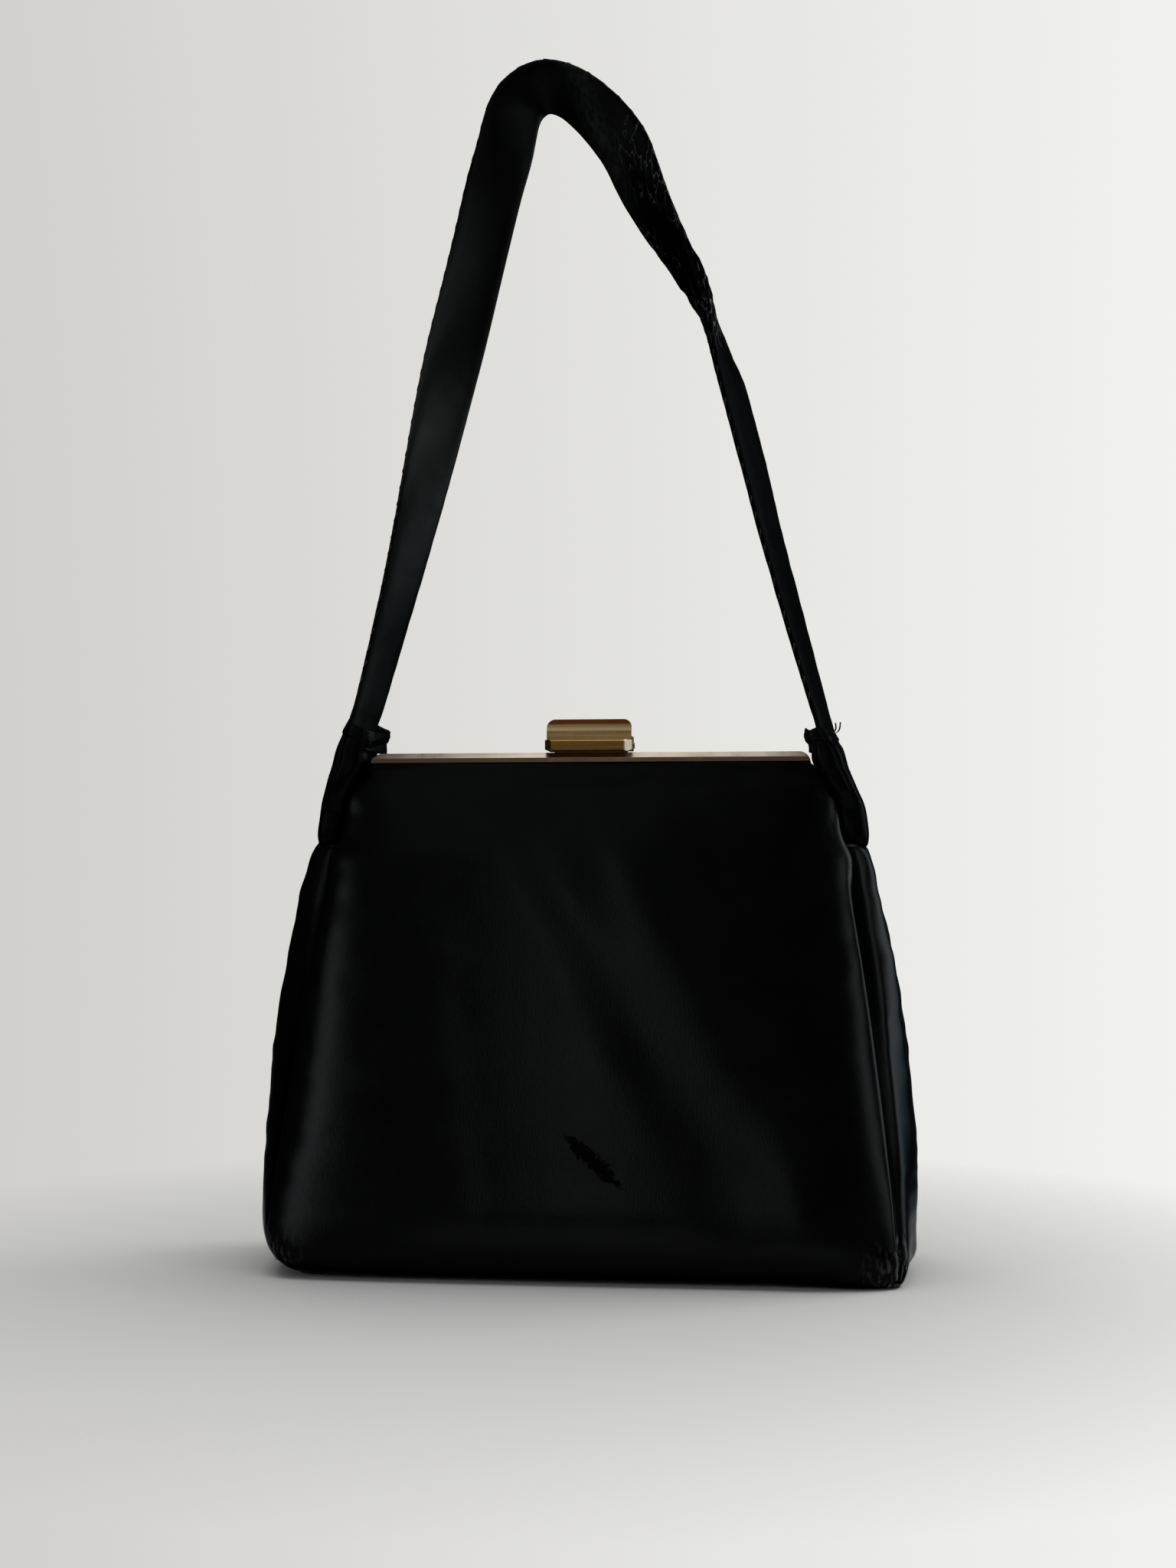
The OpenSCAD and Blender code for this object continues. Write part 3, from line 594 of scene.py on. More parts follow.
def crease(z):
    """How deep the fold along the middle of the gusset is at a height."""
    return gusset_crease * max(0, math.sin(math.pi * (z - crease_low) / crease_span)) ** 2


def gusset_x(v, z, inset, bulge):
    """How far out the gusset lies, v from -1 at one seam to 1 at the other."""
    y = v * (seam_y(z) - inset)
    out = bulge * swell(z) * max(0, math.cos(v * math.pi / 2)) ** bulge_power
    return half_width(z) - inset + out - crease(z) * hump(y, 0, crease_reach) * (1 - v * v)


def gusset_place(side, bulge):
    """Where a gusset's satin lies: up the side, in under the hinge and up again as the tongue."""
    def place(across, share):
        v = math.sin(across * math.pi / 2)
        inset, z = wall_station(min(1, share / wall_share), gusset_top)
        if side > 0:
            inset *= 1 - corner_point * ease(-v, *point_depth)
        z += (tongue_top - gusset_top) * clamp((share - roof_share) / (1 - roof_share))
        y = v * (seam_y(z) - inset)
        x = gusset_x(v, min(z, gusset_top), inset, bulge) - (trim(z) if side < 0 else 0)
        for lift, across_rate, along_rate, seed in gusset_wrinkles:
            spot = Vector((y * across_rate, z * along_rate, seed * side))
            x += lift * (1 - v ** 4) * noise.noise(spot)
        x -= groove_depth(side) * hump(abs(v), 1, gusset_groove_w)
        z += gusset_ear * ease(abs(y), *ear_from) * ease(share, wall_share - ear_share, ear_share)
        rim = ease(share, wall_share - gusset_rim_share, gusset_rim_share)
        z += gusset_rim * ease(x, *rim_from) * rim
        tongue_x = half_width(hinge_z + math.hypot(y, z - hinge_z)) + tongue_gap
        x += (tongue_x - x) * ease(share, wall_share, roof_share - wall_share)
        return Vector((side * x, side * y, z))
    return place


gusset_grid = (48, 110)
gusset_flat = (0.060, 0.150)
gusset_sides = (("left", -1, left_bulge), ("right", 1, right_bulge))


def seam_valley_shade(tree, across, axes, colour):
    """Painted shade on a gusset along the valleys of its two seams."""
    off_seam = maths(tree, "MINIMUM", across, maths(tree, "SUBTRACT", gusset_flat[0], across))
    return mix_colours(tree, ramp(tree, off_seam, 0.004, 0.011, 0.9, 0.0), colour, painted_seam_shade)


gusset_satin = satin("gusset_satin", shade=seam_valley_shade)
for name, side, bulge in gusset_sides:
    bm = cloth_mesh(gusset_grid, gusset_place(side, bulge), gusset_flat, skin_t)
    gusset = finish_piece(bm, f"{name}_satin_gusset", gusset_satin)
    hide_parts(f"{name}_gusset")
    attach(gusset, "pouch")


# Base
# A panel of the same satin, drawn tight under a board and sewn to the foot of the panels and
# gussets. It is flat, because the bag stands on it.
base_t = 0.0011
base_gap = 0.0002
base_inset = base_r * (1 - math.sin(foot_angle)) + base_gap
base_grid = (60, 32)
base_flat = (0.167, 0.053)


def base_place(across, share):
    a = math.sin(across * math.pi / 2)
    b = math.sin((2 * share - 1) * math.pi / 2)
    inset = base_inset * (1 - corner_point * ease(a, *point_reach) * ease(b, *point_depth))
    x = a * gusset_x(b, 0, inset, right_bulge if a > 0 else left_bulge)
    x += left_trim * ease(-a, *trim_reach)
    y = b * (panel_y(a, 0) - inset)
    return Vector((x, -y, 0))


def thicken_flat(made, lift):
    """Gives a flat cloth its thickness, upwards or, where lift is negative, downwards."""
    grown = bmesh.ops.extrude_face_region(made, geom=made.faces[:], use_keep_orig=True)["geom"]
    moved = [g for g in grown if isinstance(g, bmesh.types.BMVert)]
    bmesh.ops.translate(made, verts=moved, vec=(0, 0, lift))
    bmesh.ops.recalc_face_normals(made, faces=made.faces[:])


bm = cloth_mesh(base_grid, base_place, base_flat)
thicken_flat(bm, base_t)
base = finish_piece(bm, "base_satin_panel", plain_satin)
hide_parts("base_panel")
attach(base, "pouch")


# Interlinings and base board
# Grey-brown felted board, glued behind the panels and laid in the base. It keeps the bag in shape,
# and behind the panels it bends with them.
board_dark = (0.26, 0.22, 0.17)
board_light = (0.42, 0.37, 0.30)
stiffener_low = 0.004
stiffener_top = hinge_z - 0.003
stiffener_depth = 0.0011
stiffener_t = 0.0008
stiffener_reach = 0.985
stiffener_taper = 0.115
taper_h = 0.0355
stiffener_grid = (40, 40)
stiffener_flat = (0.16, 0.115)


def felted_board(name):
    """Board of coarse fibres with cloudy patches."""
    material, tree, shader, place = new_material(name)
    fibre = noise_at(tree, place, scale=700.0, detail=5.0)
    cloud = noise_at(tree, place, scale=60.0, detail=3.0)
    shade = ramp(tree, product(tree, fibre, cloud), 0.1, 0.45)
    colour = mix_colours(tree, shade, board_dark, board_light)
    rough = ramp(tree, cloud, 0.3, 0.7, 0.8, 0.95)
    set_surface(tree, shader, colour, rough, fibre, strength=0.5, depth=0.0002)
    shader.inputs["Specular IOR Level"].default_value = 0.2
    return material


def dress(node_name, material):
    """Gives a CAD node that is kept as it is its material."""
    slots = nodes[node_name].data.materials
    slots.clear()
    slots.append(material)


def stiffener_place(facing):
    def place(across, share):
        z = stiffener_low + (stiffener_top - stiffener_low) * share
        inset = stiffener_depth + base_r * (1 - math.sqrt(1 - clamp(1 - z / base_r) ** 2))
        reach = stiffener_reach - stiffener_taper * clamp(1 - (stiffener_top - z) / taper_h)
        s = reach * math.sin(across * math.pi / 2)
        return Vector((facing * s * (half_width(z) - inset), facing * (inset - panel_y(s, z)), z))
    return place


board = felted_board("felted_board")
dress("base_board", board)
for side, facing in (("front", 1), ("rear", -1)):
    bm = cloth_mesh(stiffener_grid, stiffener_place(facing), stiffener_flat, stiffener_t)
    felt = finish_piece(bm, f"{side}_felt_board", board)
    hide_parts(f"{side}_interlining")
    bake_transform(felt)


# Lining and pocket
# Dark ribbed lining cloth, sewn as a loose bag inside the pouch and drawn in between the frame arms,
# with a slip pocket on the rear. The same cloth covers the facings of the frame.
lining_dark = (0.018, 0.015, 0.014)
lining_light = (0.045, 0.038, 0.034)
lining_depth = 0.0033
lining_t = 0.0004
lining_low = 0.005
lining_top = body_h - 0.0075
lining_slack = 0.0004
# Dents to the metre, across and along
panel_dents = (60, 50)
lining_reach = 0.99
draw_low = gusset_top - 0.022
draw_span = 0.026
rail_w = 0.1206
arm_inner_low = 0.0639
arm_inner_top = rail_w / 2 - 0.0031
arm_low_z = hinge_z + arm_bend
arm_top_z = body_h - 0.0025
arm_gap = 0.001


def ribbed_lining(name):
    """Dull cloth with level ribs, fuzz and soft crumples."""
    material, tree, shader, place = new_material(name)
    rib_inputs = {"Vector": place, "Scale": 420.0, "Distortion": 0.6}
    ribs = add_node(tree, "ShaderNodeTexWave", rib_inputs, bands_direction="Z").outputs["Fac"]
    fuzz = noise_at(tree, place, scale=1500.0, detail=3.0)
    crumple = noise_at(tree, place, scale=55.0, detail=3.0)
    colour = mix_colours(tree, crumple, lining_dark, lining_light)
    rough = ramp(tree, fuzz, 0.3, 0.7, 0.55, 0.75)
    height = layered(tree, ribs, (fuzz, 0.8), (crumple, 2.5))
    set_surface(tree, shader, colour, rough, height, strength=0.5, depth=0.0003)
    shader.inputs["Sheen Weight"].default_value = 0.2
    shader.inputs["Sheen Roughness"].default_value = 0.5
    return material


def dent(a, b, c):
    """How far the loose lining is dented in somewhere, from 0 to 1."""
    return 0.5 + 0.5 * noise.noise(Vector((a, b, c)))


def arm_inner(z):
    """From the middle of the bag to the inner side of a frame arm, at a height."""
    narrowing = max(0, z - arm_low_z) / (arm_top_z - arm_low_z)
    return arm_inner_low + (arm_inner_top - arm_inner_low) * narrowing


def panel_lining_place(facing):
    def place(across, share):
        z = lining_low + (lining_top - lining_low) * share
        draw_in = clamp((z - draw_low) / draw_span)
        loose_half = half_width(z) - lining_depth
        half = loose_half * (1 - draw_in) + (arm_inner(z) - arm_gap) * draw_in
        x = lining_reach * half * math.sin(across * math.pi / 2)
        y = panel_y(x / loose_half, z) - lining_depth
        y -= lining_slack * dent(x * panel_dents[0], facing * 3, z * panel_dents[1]) * (1 - draw_in)
        return Vector((facing * x, -facing * y, z))
    return place


lining_cloth = ribbed_lining("ribbed_lining")
panel_lining_grid = (60, 60)
panel_lining_flat = (0.160, 0.134)
for side, facing in (("front", 1), ("rear", -1)):
    bm = cloth_mesh(panel_lining_grid, panel_lining_place(facing), panel_lining_flat, lining_t)
    lining = finish_piece(bm, f"{side}_cloth_lining", lining_cloth)
    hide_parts(f"{side}_lining")
    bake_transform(lining)

gusset_lining_top = gusset_top - 0.014
gusset_lining_reach = 0.95
gusset_dents = (80, 70)


def gusset_lining_place(side, bulge):
    def place(across, share):
        v = gusset_lining_reach * math.sin(across * math.pi / 2)
        z = lining_low + (gusset_lining_top - lining_low) * share
        y = v * (seam_y(z) - lining_depth)
        x = gusset_x(v, z, lining_depth, bulge)
        x -= lining_slack * dent(y * gusset_dents[0], z * gusset_dents[1], side)
        return Vector((side * x, side * y, z))
    return place


gusset_lining_grid = (30, 50)
gusset_lining_flat = (0.050, 0.100)
for name, side, bulge in gusset_sides:
    place = gusset_lining_place(side, bulge)
    bm = cloth_mesh(gusset_lining_grid, place, gusset_lining_flat, lining_t)
    lining = finish_piece(bm, f"{name}_cloth_lining", lining_cloth)
    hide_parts(f"{name}_lining")
    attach(lining, "pouch")

base_lining_z = 0.0038
base_lining_inset = base_r + 0.002
base_lining_slack = 0.0003
base_dents = 70


def base_lining_place(across, share):
    a = math.sin(across * math.pi / 2)
    b = math.sin((2 * share - 1) * math.pi / 2)
    x = a * gusset_x(b, 0, base_lining_inset, right_bulge if a > 0 else left_bulge)
    y = b * (panel_y(a, 0) - base_lining_inset)
    z = base_lining_z - base_lining_slack * dent(x * base_dents, y * base_dents, 4)
    return Vector((x, y, z))


base_lining_grid = (60, 30)
base_lining_flat = (0.160, 0.044)
bm = cloth_mesh(base_lining_grid, base_lining_place, base_lining_flat)
thicken_flat(bm, -lining_t)
lining = finish_piece(bm, "base_cloth_lining", lining_cloth)
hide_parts("base_lining")
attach(lining, "pouch")

pocket_low, pocket_high, pocket_half_w = 0.034, 0.084, 0.042
pocket_depth = 0.0042
pocket_gape = 0.0012
gape_from = (0.55, 0.45)
pocket_hem = 0.0003
pocket_hem_from = (0.86, 0.02)


def pocket_place(across, share):
    x = pocket_half_w * across
    z = pocket_low + (pocket_high - pocket_low) * share
    gape = pocket_gape * ease(share, *gape_from) * (1 - across ** 2)
    hem = pocket_hem * ease(share, *pocket_hem_from)
    y = panel_y(x / (half_width(z) - pocket_depth), z) - pocket_depth - gape - hem
    return Vector((x, y, z))


pocket_grid = (48, 40)
pocket_flat = (0.084, 0.052)
bm = cloth_mesh(pocket_grid, pocket_place, pocket_flat, -lining_t)
bmesh.ops.recalc_face_normals(bm, faces=bm.faces[:])
pocket = finish_piece(bm, "slip_pocket", lining_cloth)
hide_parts("lining_pocket")
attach(pocket, "pouch")

for side in ("front", "rear"):
    dress(f"{side}_facing", lining_cloth)


# Frame and clasp
# Folded brass strip and stampings, gold plated and finely scratched lengthways. Bands of painted light
# lie on the gold: a brown painted reflection below the top of the rail, a painted highlight along the
# bend of the thumb plate with painted shade above it, and a painted highlight at one end of the catch
# bar. Pin, spring, lugs and lug rivets are plain steel.
streak_scale = (40, 900, 1400)


def polished_metal(name, deep, light, painted_bands=()):
    """Metal in two shades. Each band of painted light has an axis, where it starts, where it is full,
    and its colour.
    """
    material, tree, shader, place = new_material(name)
    streak = noise_at(tree, place, scale=streak_scale, detail=4.0)
    stain = noise_at(tree, place, scale=160.0, detail=5.0, roughness=0.65)
    shade = layered(tree, product(tree, streak, 0.5), (stain, 0.5))
    colour = mix_colours(tree, ramp(tree, shade, 0.30, 0.70), deep, light)
    axes = add_node(tree, "ShaderNodeSeparateXYZ", {0: place}).outputs
    for axis, start, full, mark_colour in painted_bands:
        colour = mix_colours(tree, ramp(tree, axes[axis], start, full), colour, mark_colour)
    rough = ramp(tree, stain, 0.3, 0.7, 0.26, 0.36)
    set_surface(tree, shader, colour, rough, streak, strength=0.12, depth=0.0001)
    shader.inputs["Metallic"].default_value = 1
    return material


# Painted light: a brown painted reflection low on the rail, a painted highlight and painted shade on
# the thumb plate, and a painted highlight at the end of the catch bar.
rail_painted_reflection = ("Z", body_h - 0.0013, body_h - 0.0016, (0.22, 0.15, 0.095))
plate_painted_highlight = ("Z", body_h + 0.0058, body_h + 0.0061, (0.98, 0.74, 0.38))
plate_painted_shade = ("Z", body_h + 0.0066, body_h + 0.0080, (0.16, 0.05, 0.006))
bar_painted_highlight = ("X", 0.0096, 0.0103, (0.77, 0.70, 0.50))
frame_gold = polished_metal("frame_gold", (0.38, 0.30, 0.22), (0.62, 0.52, 0.43), [rail_painted_reflection])
plate_painted_bands = [plate_painted_highlight, plate_painted_shade]
clasp_gold = polished_metal("clasp_gold", (0.30, 0.17, 0.055), (0.66, 0.45, 0.20), plate_painted_bands)
bar_gold = polished_metal("bar_gold", (0.165, 0.085, 0.018), (0.36, 0.21, 0.06), [bar_painted_highlight])
steel = polished_metal("bright_steel", (0.30, 0.30, 0.29), (0.58, 0.58, 0.56))
finishes = {
    "front_frame": frame_gold, "rear_frame": frame_gold, "hinge_rivets": frame_gold,
    "catch_bar": bar_gold, "catch_rivets": bar_gold, "latch_bracket": clasp_gold,
    "bracket_rivets": clasp_gold, "latch_plate": clasp_gold, "latch_pin": steel,
    "latch_spring": steel, "left_lug": steel, "right_lug": steel, "lug_rivets": steel,
}
for node_name, finish in finishes.items():
    dress(node_name, finish)


# Strap
# A tube of satin round a soft filler, pressed flat and closed along one edge. It leaves the right tab
# edge on, twists as it passes over the top, and comes down flat towards the left tab with its seam
# edge curled back.
mm = 0.001
strap_half_w = 0.008
strap_half_t = 0.0014
strap_w_power = 0.65
strap_t_power = 0.9
# Stations in millimetres: x, height above the frame, turn of the width in degrees
strap_route = [
    (64.9, 3.2, 12), (63.3, 9.2, 12), (61.6, 15, 13.5), (54.8, 39.4, 18), (49.3, 59.6, 20),
    (44.3, 79.8, 23), (38.9, 100, 22), (36.2, 108, 15), (33.8, 115, 6), (30.2, 125.2, -12),
    (24.7, 135.3, -24), (18.8, 145.4, -38), (13.9, 155.5, -52), (9.6, 165.5, -60), (4, 173.2, -58),
    (-1.6, 178.6, -50), (-6.6, 182, -44), (-12.2, 183.4, -42), (-17.2, 181.4, -46),
    (-21, 176.4, -56), (-23.8, 165.6, -68), (-26.8, 155.5, -78), (-30.6, 140.3, -82),
    (-35.5, 120.1, -78), (-40.4, 99.9, -60), (-45, 79.8, -45), (-49.7, 59.6, -32),
    (-54.8, 39.4, -23), (-61.4, 15, -16), (-63.3, 9.2, -15), (-64.9, 3.2, -15),
]


def curve_through(stations, position):
    """A point of the smooth curve through the stations, at a position counted in stations."""
    last = len(stations) - 1
    index = min(last - 1, int(position))
    t = position - index
    a, b, c, d = (stations[max(0, min(last, index + k))] for k in (-1, 0, 1, 2))
    point = []
    for p, q, r, s in zip(a, b, c, d):
        bend = (2 * p - 5 * q + 4 * r - s) * t * t + (3 * q - p - 3 * r + s) * t ** 3
        point.append(0.5 * (2 * q + (r - p) * t + bend))
    return point


route_steps = 24
route_count = route_steps * (len(strap_route) - 1) + 1
strap_line = [curve_through(strap_route, k / route_steps) for k in range(route_count)]
strap_run = [0.0]
for first, second in zip(strap_line, strap_line[1:]):
    strap_run.append(strap_run[-1] + mm * math.dist(first[:2], second[:2]))
strap_length = strap_run[-1]
direction_steps = 8


def strap_frame(run):
    """Centre, direction, width direction and face direction of the strap at a length along it."""
    low, high = 0, len(strap_run) - 1
    while high - low > 1:
        middle = (low + high) // 2
        if strap_run[middle] <= run:
            low = middle
        else:
            high = middle
    share = clamp((run - strap_run[low]) / (strap_run[high] - strap_run[low]))
    x, rise, turn = (p + (q - p) * share for p, q in zip(strap_line[low], strap_line[high]))
    before = strap_line[max(0, low - direction_steps)]
    after = strap_line[min(len(strap_line) - 1, high + direction_steps)]
    ahead = Vector((after[0] - before[0], 0, after[1] - before[1])).normalized()
    face = Vector((ahead.z, 0, -ahead.x))
    turn = math.radians(turn)
    depth = Vector((0, 1, 0))
    width = math.cos(turn) * depth + math.sin(turn) * face
    thick = math.cos(turn) * face - math.sin(turn) * depth
    return Vector((x * mm, 0, body_h + rise * mm)), ahead, width, thick


edge_curl = 0.0022
curl_at_z = (0.282, 0.026)
twist_at = (0.128, 0.018)
twist_swell = 0.7
cloth_ripple = 0.00012
ripple_rates = (260, 330)
twist_ripple = 0.0005
twist_edge = 0.0004
twist_edge_rate = 200


def curl_at(centre):
    """How far the seam edge is curled back where the centre of the strap is."""
    return edge_curl * hump(centre.z, *curl_at_z) if centre.x < 0 else 0


def strap_place(across, share):
    """Where the tube of the strap lies: round its section, crumpled where it twists."""
    angle = math.pi * across
    run = share * strap_length
    centre, ahead, width, thick = strap_frame(run)
    c, s = math.cos(angle), math.sin(angle)
    w = strap_half_w * math.copysign(abs(s) ** strap_w_power, s)
    crumple = hump(run, *twist_at)
    t = strap_half_t * (1 + twist_swell * crumple) * math.copysign(abs(c) ** strap_t_power, c)
    t += curl_at(centre) * min(0, w / strap_half_w) ** 2
    ripple = noise.noise(Vector((w * ripple_rates[0], run * ripple_rates[1], c)))
    t += (cloth_ripple + twist_ripple * crumple) * ripple * (1 if c > 0 else -1)
    w += twist_edge * crumple * noise.noise(Vector((c, run * twist_edge_rate, 7)))
    return centre + w * width + t * thick


merge_gap = 1e-6


def close_tube(made):
    """Joins the two long edges of a grid that is laid as a tube, and closes its ends."""
    bmesh.ops.remove_doubles(made, verts=made.verts[:], dist=merge_gap)
    bmesh.ops.holes_fill(made, edges=[e for e in made.edges if e.is_boundary])
    bmesh.ops.recalc_face_normals(made, faces=made.faces[:])


strap_around = 2 * (2 * strap_half_w + 2 * strap_half_t)
strap_grid = (56, 240)
# Painted sheen on the left limb of the strap.
painted_sheen_grey = (0.060, 0.062, 0.063)
crack_scale = (420, 420, 150)


def strap_painted_shade_and_sheen(tree, across, axes, colour):
    """Painted shade on the right limb, darker towards the foot of both limbs, and a painted sheen on
    the left limb at its seam edge.
    """
    right_limb_shade = ramp(tree, axes["X"], 0.0, 0.025, 0.0, 0.7)
    limb_foot = ramp(tree, axes["Z"], 0.205, 0.175, 0.0, 0.5)
    limb_foot = product(tree, limb_foot, ramp(tree, axes["Z"], 0.156, 0.170))
    seam = strap_around / 4
    off_seam = maths(tree, "ABSOLUTE", maths(tree, "SUBTRACT", across, seam))
    off_seam = maths(tree, "MINIMUM", off_seam, maths(tree, "SUBTRACT", 5 * seam, across))
    sheen = product(
        tree,
        ramp(tree, off_seam, 0.0, 1.4 * seam, 1.0, 0.0),
        ramp(tree, axes["X"], -0.014, -0.022),
        ramp(tree, axes["Z"], 0.298, 0.275),
        ramp(tree, axes["Z"], 0.208, 0.228),
    )
    colour = mix_colours(tree, right_limb_shade, colour, deep_shade)
    colour = mix_colours(tree, limb_foot, colour, deep_shade)
    return mix_colours(tree, sheen, colour, painted_sheen_grey)


def strap_cracks(tree, place, axes):
    """Fine pale lines where the satin of the strap has cracked along its twist."""
    lines = noise_at(tree, place, scale=crack_scale, detail=2.0)
    patches = noise_at(tree, place, scale=110.0, detail=2.0)
    off_line = maths(tree, "ABSOLUTE", maths(tree, "SUBTRACT", lines, 0.5))
    return product(
        tree,
        ramp(tree, axes["X"], 0.004, 0.016),
        ramp(tree, axes["Z"], 0.238, 0.262),
        ramp(tree, patches, 0.44, 0.56),
        ramp(tree, off_line, 0.022, 0.006, 0.0, 0.8),
    )


# Painted shade: the strap takes a darker copy of the satin, with its own painted shade and sheen, and
# its cracks.
strap_satin = satin("strap_satin", tone=0.8, dulled=0.22, shade=strap_painted_shade_and_sheen, cracks=strap_cracks)
bm = cloth_mesh(strap_grid, strap_place, (strap_around, strap_length))
close_tube(bm)
strap = finish_piece(bm, "satin_strap", strap_satin)
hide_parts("strap")
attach(strap, "handle_body")


# Strap stitching
# Black sewing thread in a row of slanting stitches, which closes the tube of the strap along its
# seam edge.
thread_dark = (0.010, 0.010, 0.010)
thread_light = (0.045, 0.046, 0.047)
stitch_pitch = 0.0046
stitch_half = 0.0014
stitch_r = 0.00020
stitch_sink = 0.0001
stitch_slant = math.radians(14)
end_clear = 0.012


def black_thread(name):
    """Twisted thread with pale plies."""
    material, tree, shader, place = new_material(name)
    ply = noise_at(tree, place, scale=2600.0, detail=2.0)
    colour = mix_colours(tree, ply, thread_dark, thread_light)
    rough = ramp(tree, ply, 0.3, 0.7, 0.45, 0.7)
    set_surface(tree, shader, colour, rough, ply, strength=0.5, depth=0.0001)
    shader.inputs["Specular IOR Level"].default_value = 0.3
    return material


thread = black_thread("black_thread")
bm = bmesh.new()
for count in range(int((strap_length - 2 * end_clear) / stitch_pitch)):
    centre, ahead, width, thick = strap_frame(end_clear + count * stitch_pitch)
    along = math.cos(stitch_slant) * ahead + math.sin(stitch_slant) * thick
    turn = Matrix((along, width, along.cross(width))).transposed().to_4x4()
    size = Matrix.Diagonal((stitch_half, stitch_r, stitch_r, 1))
    spot = centre - (strap_half_w - stitch_sink) * width + curl_at(centre) * thick
    stitch_place = Matrix.Translation(spot) @ turn @ size
    bmesh.ops.create_icosphere(bm, subdivisions=2, radius=1, matrix=stitch_place)
stitches = finish_piece(bm, "strap_stitches", thread)
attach(stitches, "handle_body")


# Strap tabs
# Leaves of padded satin folded round the strap ends and the metal lugs, and hemmed at the mouth. They
# lie against the panel edges and hide the hinge.
# Stations in millimetres: height above the frame, inner and outer x, half width, share of the turn
tab_foot = [
    (-26.0, 69.0, 75.0, 1.4, 0), (-25.2, 68.6, 75.5, 3.3, 0), (-23.8, 68.3, 75.8, 4.3, 0),
    (-21.4, 68.3, 75.9, 4.8, 0), (-16.4, 67.6, 75.3, 4.9, 0), (-13.6, 66.7, 74.7, 6.1, 0),
    (-11, 65.6, 73.9, 7.6, 0), (-7, 63.3, 72.8, 8.6, 0), (-4.5, 61.5, 71.9, 8.6, 0),
    (-2, 60.5, 71.0, 8.6, 0),
]
left_tab_top = [
    (0.8, 60.5, 69.9, 8.6, 0.2), (3, 59.3, 68.6, 8.6, 0.5), (5.5, 58.5, 66.9, 8.6, 0.8),
    (8, 58.3, 64.9, 8.6, 1),
]
right_tab_top = [
    (0.6, 60.5, 69.7, 8.6, 0.3), (2, 59.8, 68.6, 8.6, 0.6), (4, 59.4, 67.0, 8.6, 0.9),
    (5.8, 59.8, 65.4, 8.6, 1),
]
tab_grid = (72, 96)
tab_flat = (0.045, 0.04)
tab_power = 0.6
tab_t = 0.0011
slim_at = (-4.5, 7.5)
slant_from = (0.62, 0.38)
# The mouth: the share of the cloth that reaches it, how deep it turns in, its lip and its hem
mouth_share = 0.9
mouth_depth = 0.006
turn_in = 0.4
lip_h = 0.0006
hem_t = 0.0004
hem_from = (0.88, 0.025)
# Dents of the padding, a furrow beside the fold, and where the mouth is ragged
outer_dents = 0.10
side_dents = 0.05
dent_rates = (170, 110)
furrow = 0.06
furrow_at = (0.5, 0.09)
furrow_from = (0.3, 0.2)
torn_from = (0.72, 0.1)
torn_rates = (300, 900)
torn_rim_from = (0.9, 0.1)
torn_rim_rate = 700


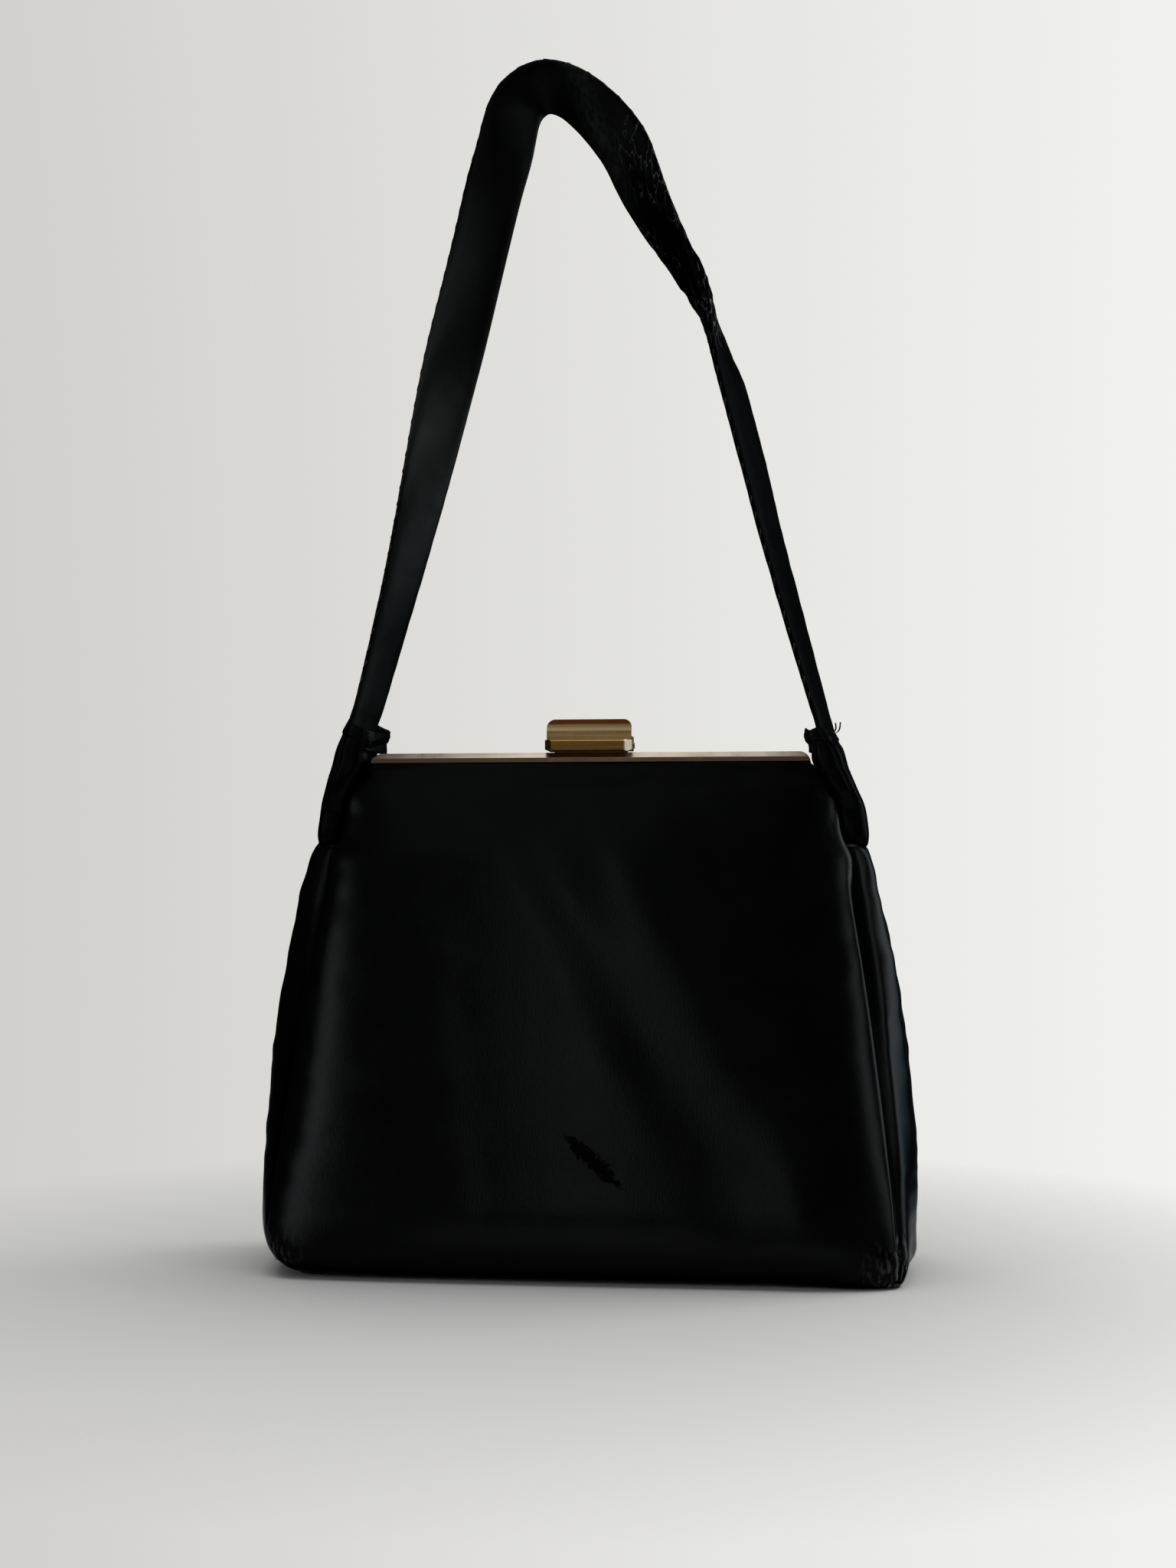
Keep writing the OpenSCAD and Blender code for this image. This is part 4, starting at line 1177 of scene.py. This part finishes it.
def tab_place(side, turn, stations, slant, ragged, slim):
    """Where a tab's satin lies: up its outside, over the hem and down into its mouth."""
    def place(across, share):
        angle = math.pi * across
        up = min(1.0, share / mouth_share)
        inside = clamp((share - mouth_share) / (1 - mouth_share))
        rise, inner, outer, half, turn_share = curve_through(stations, up * (len(stations) - 1))
        outer -= slim * hump(rise, *slim_at)
        grow = hem_t * ease(up, *hem_from) - tab_t * ease(inside, 0, turn_in)
        c, s = math.cos(angle), math.sin(angle)
        c_wide = math.copysign(abs(c) ** tab_power, c)
        p = ((outer - inner) / 2 * mm + grow) * c_wide
        q = (half * mm + grow) * math.copysign(abs(s) ** tab_power, s)
        lip = lip_h * math.sin(math.pi * clamp(2 * inside))
        z = body_h + rise * mm - mouth_depth * inside + lip
        z += slant * c_wide * ease(up, *slant_from)
        spot = Vector((p * dent_rates[0], q * dent_rates[0], z * dent_rates[1] + 20 * side))
        outer_side = ease(c_wide, -1, 2)
        p *= 1 + outer_dents * noise.noise(spot) * (1 - inside) * outer_side
        q *= 1 + side_dents * noise.noise(spot + Vector((5, 5, 5))) * (1 - inside)
        q *= 1 - furrow * hump(c_wide, *furrow_at) * ease(up, *furrow_from)
        torn = ragged * ease(up, *torn_from) * (1 - inside)
        tear = noise.noise(Vector((4, q * torn_rates[0], z * torn_rates[1])))
        p += torn * (1 - outer_side) * tear
        tear = noise.noise(Vector((q * torn_rim_rate, p * torn_rim_rate, 8)))
        z += torn * ease(up, *torn_rim_from) * tear
        a = turn * turn_share
        x = (inner + outer) / 2 * mm + p * math.cos(a) - q * math.sin(a)
        y = p * math.sin(a) + q * math.cos(a)
        return Vector((side * x, y, z))
    return place


# Painted shade: the tabs take a darker copy of the satin.
tab_satin = satin("tab_satin", tone=0.5, dulled=0.14)
for name, side, turn, top, slant, ragged, slim in (
    ("left", -1, math.radians(14), left_tab_top, 0.0018, 0.0003, 0),
    ("right", 1, math.radians(-10), right_tab_top, 0.0002, 0.0006, 1.5),
):
    place = tab_place(side, turn, tab_foot + top, slant, ragged, slim)
    bm = cloth_mesh(tab_grid, place, tab_flat)
    close_tube(bm)
    tab = finish_piece(bm, f"{name}_satin_tab", tab_satin)
    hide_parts(f"{name}_strap_tab")
    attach(tab, "handle_body")


# Frayed threads
# Ends of black sewing thread that have worked loose at the mouth of the right tab.
# Stations in millimetres: x, depth, height above the frame
loose_ends = [
    [(65.4, -3.0, 3.4), (66.2, -3.2, 4.8), (67.0, -3.3, 6.0), (66.9, -3.4, 7.6)],
    [(64.9, -2.6, 3.8), (66.0, -2.8, 4.8), (67.2, -3.0, 5.0), (68.0, -3.1, 6.0), (68.2, -3.2, 7.8)],
    [(60.2, -6.0, 3.0), (59.4, -6.2, 3.4), (58.9, -6.2, 2.6)],
]
thread_r = 0.0003
thread_taper = 0.35
thread_grid = (6, 14)
thread_flat = (0.001, 0.005)


def thread_place(stations):
    def place(across, share):
        x, depth, rise = curve_through(stations, share * (len(stations) - 1))
        angle = math.pi * across
        r = thread_r * (1 - thread_taper * share)
        around = Vector((r * math.cos(angle), r * math.sin(angle), 0))
        return Vector((x * mm, depth * mm, body_h + rise * mm)) + around
    return place


for count, stations in enumerate(loose_ends):
    bm = cloth_mesh(thread_grid, thread_place(stations), thread_flat)
    close_tube(bm)
    loose = finish_piece(bm, f"frayed_thread_{count + 1}", thread)
    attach(loose, "handle_body")
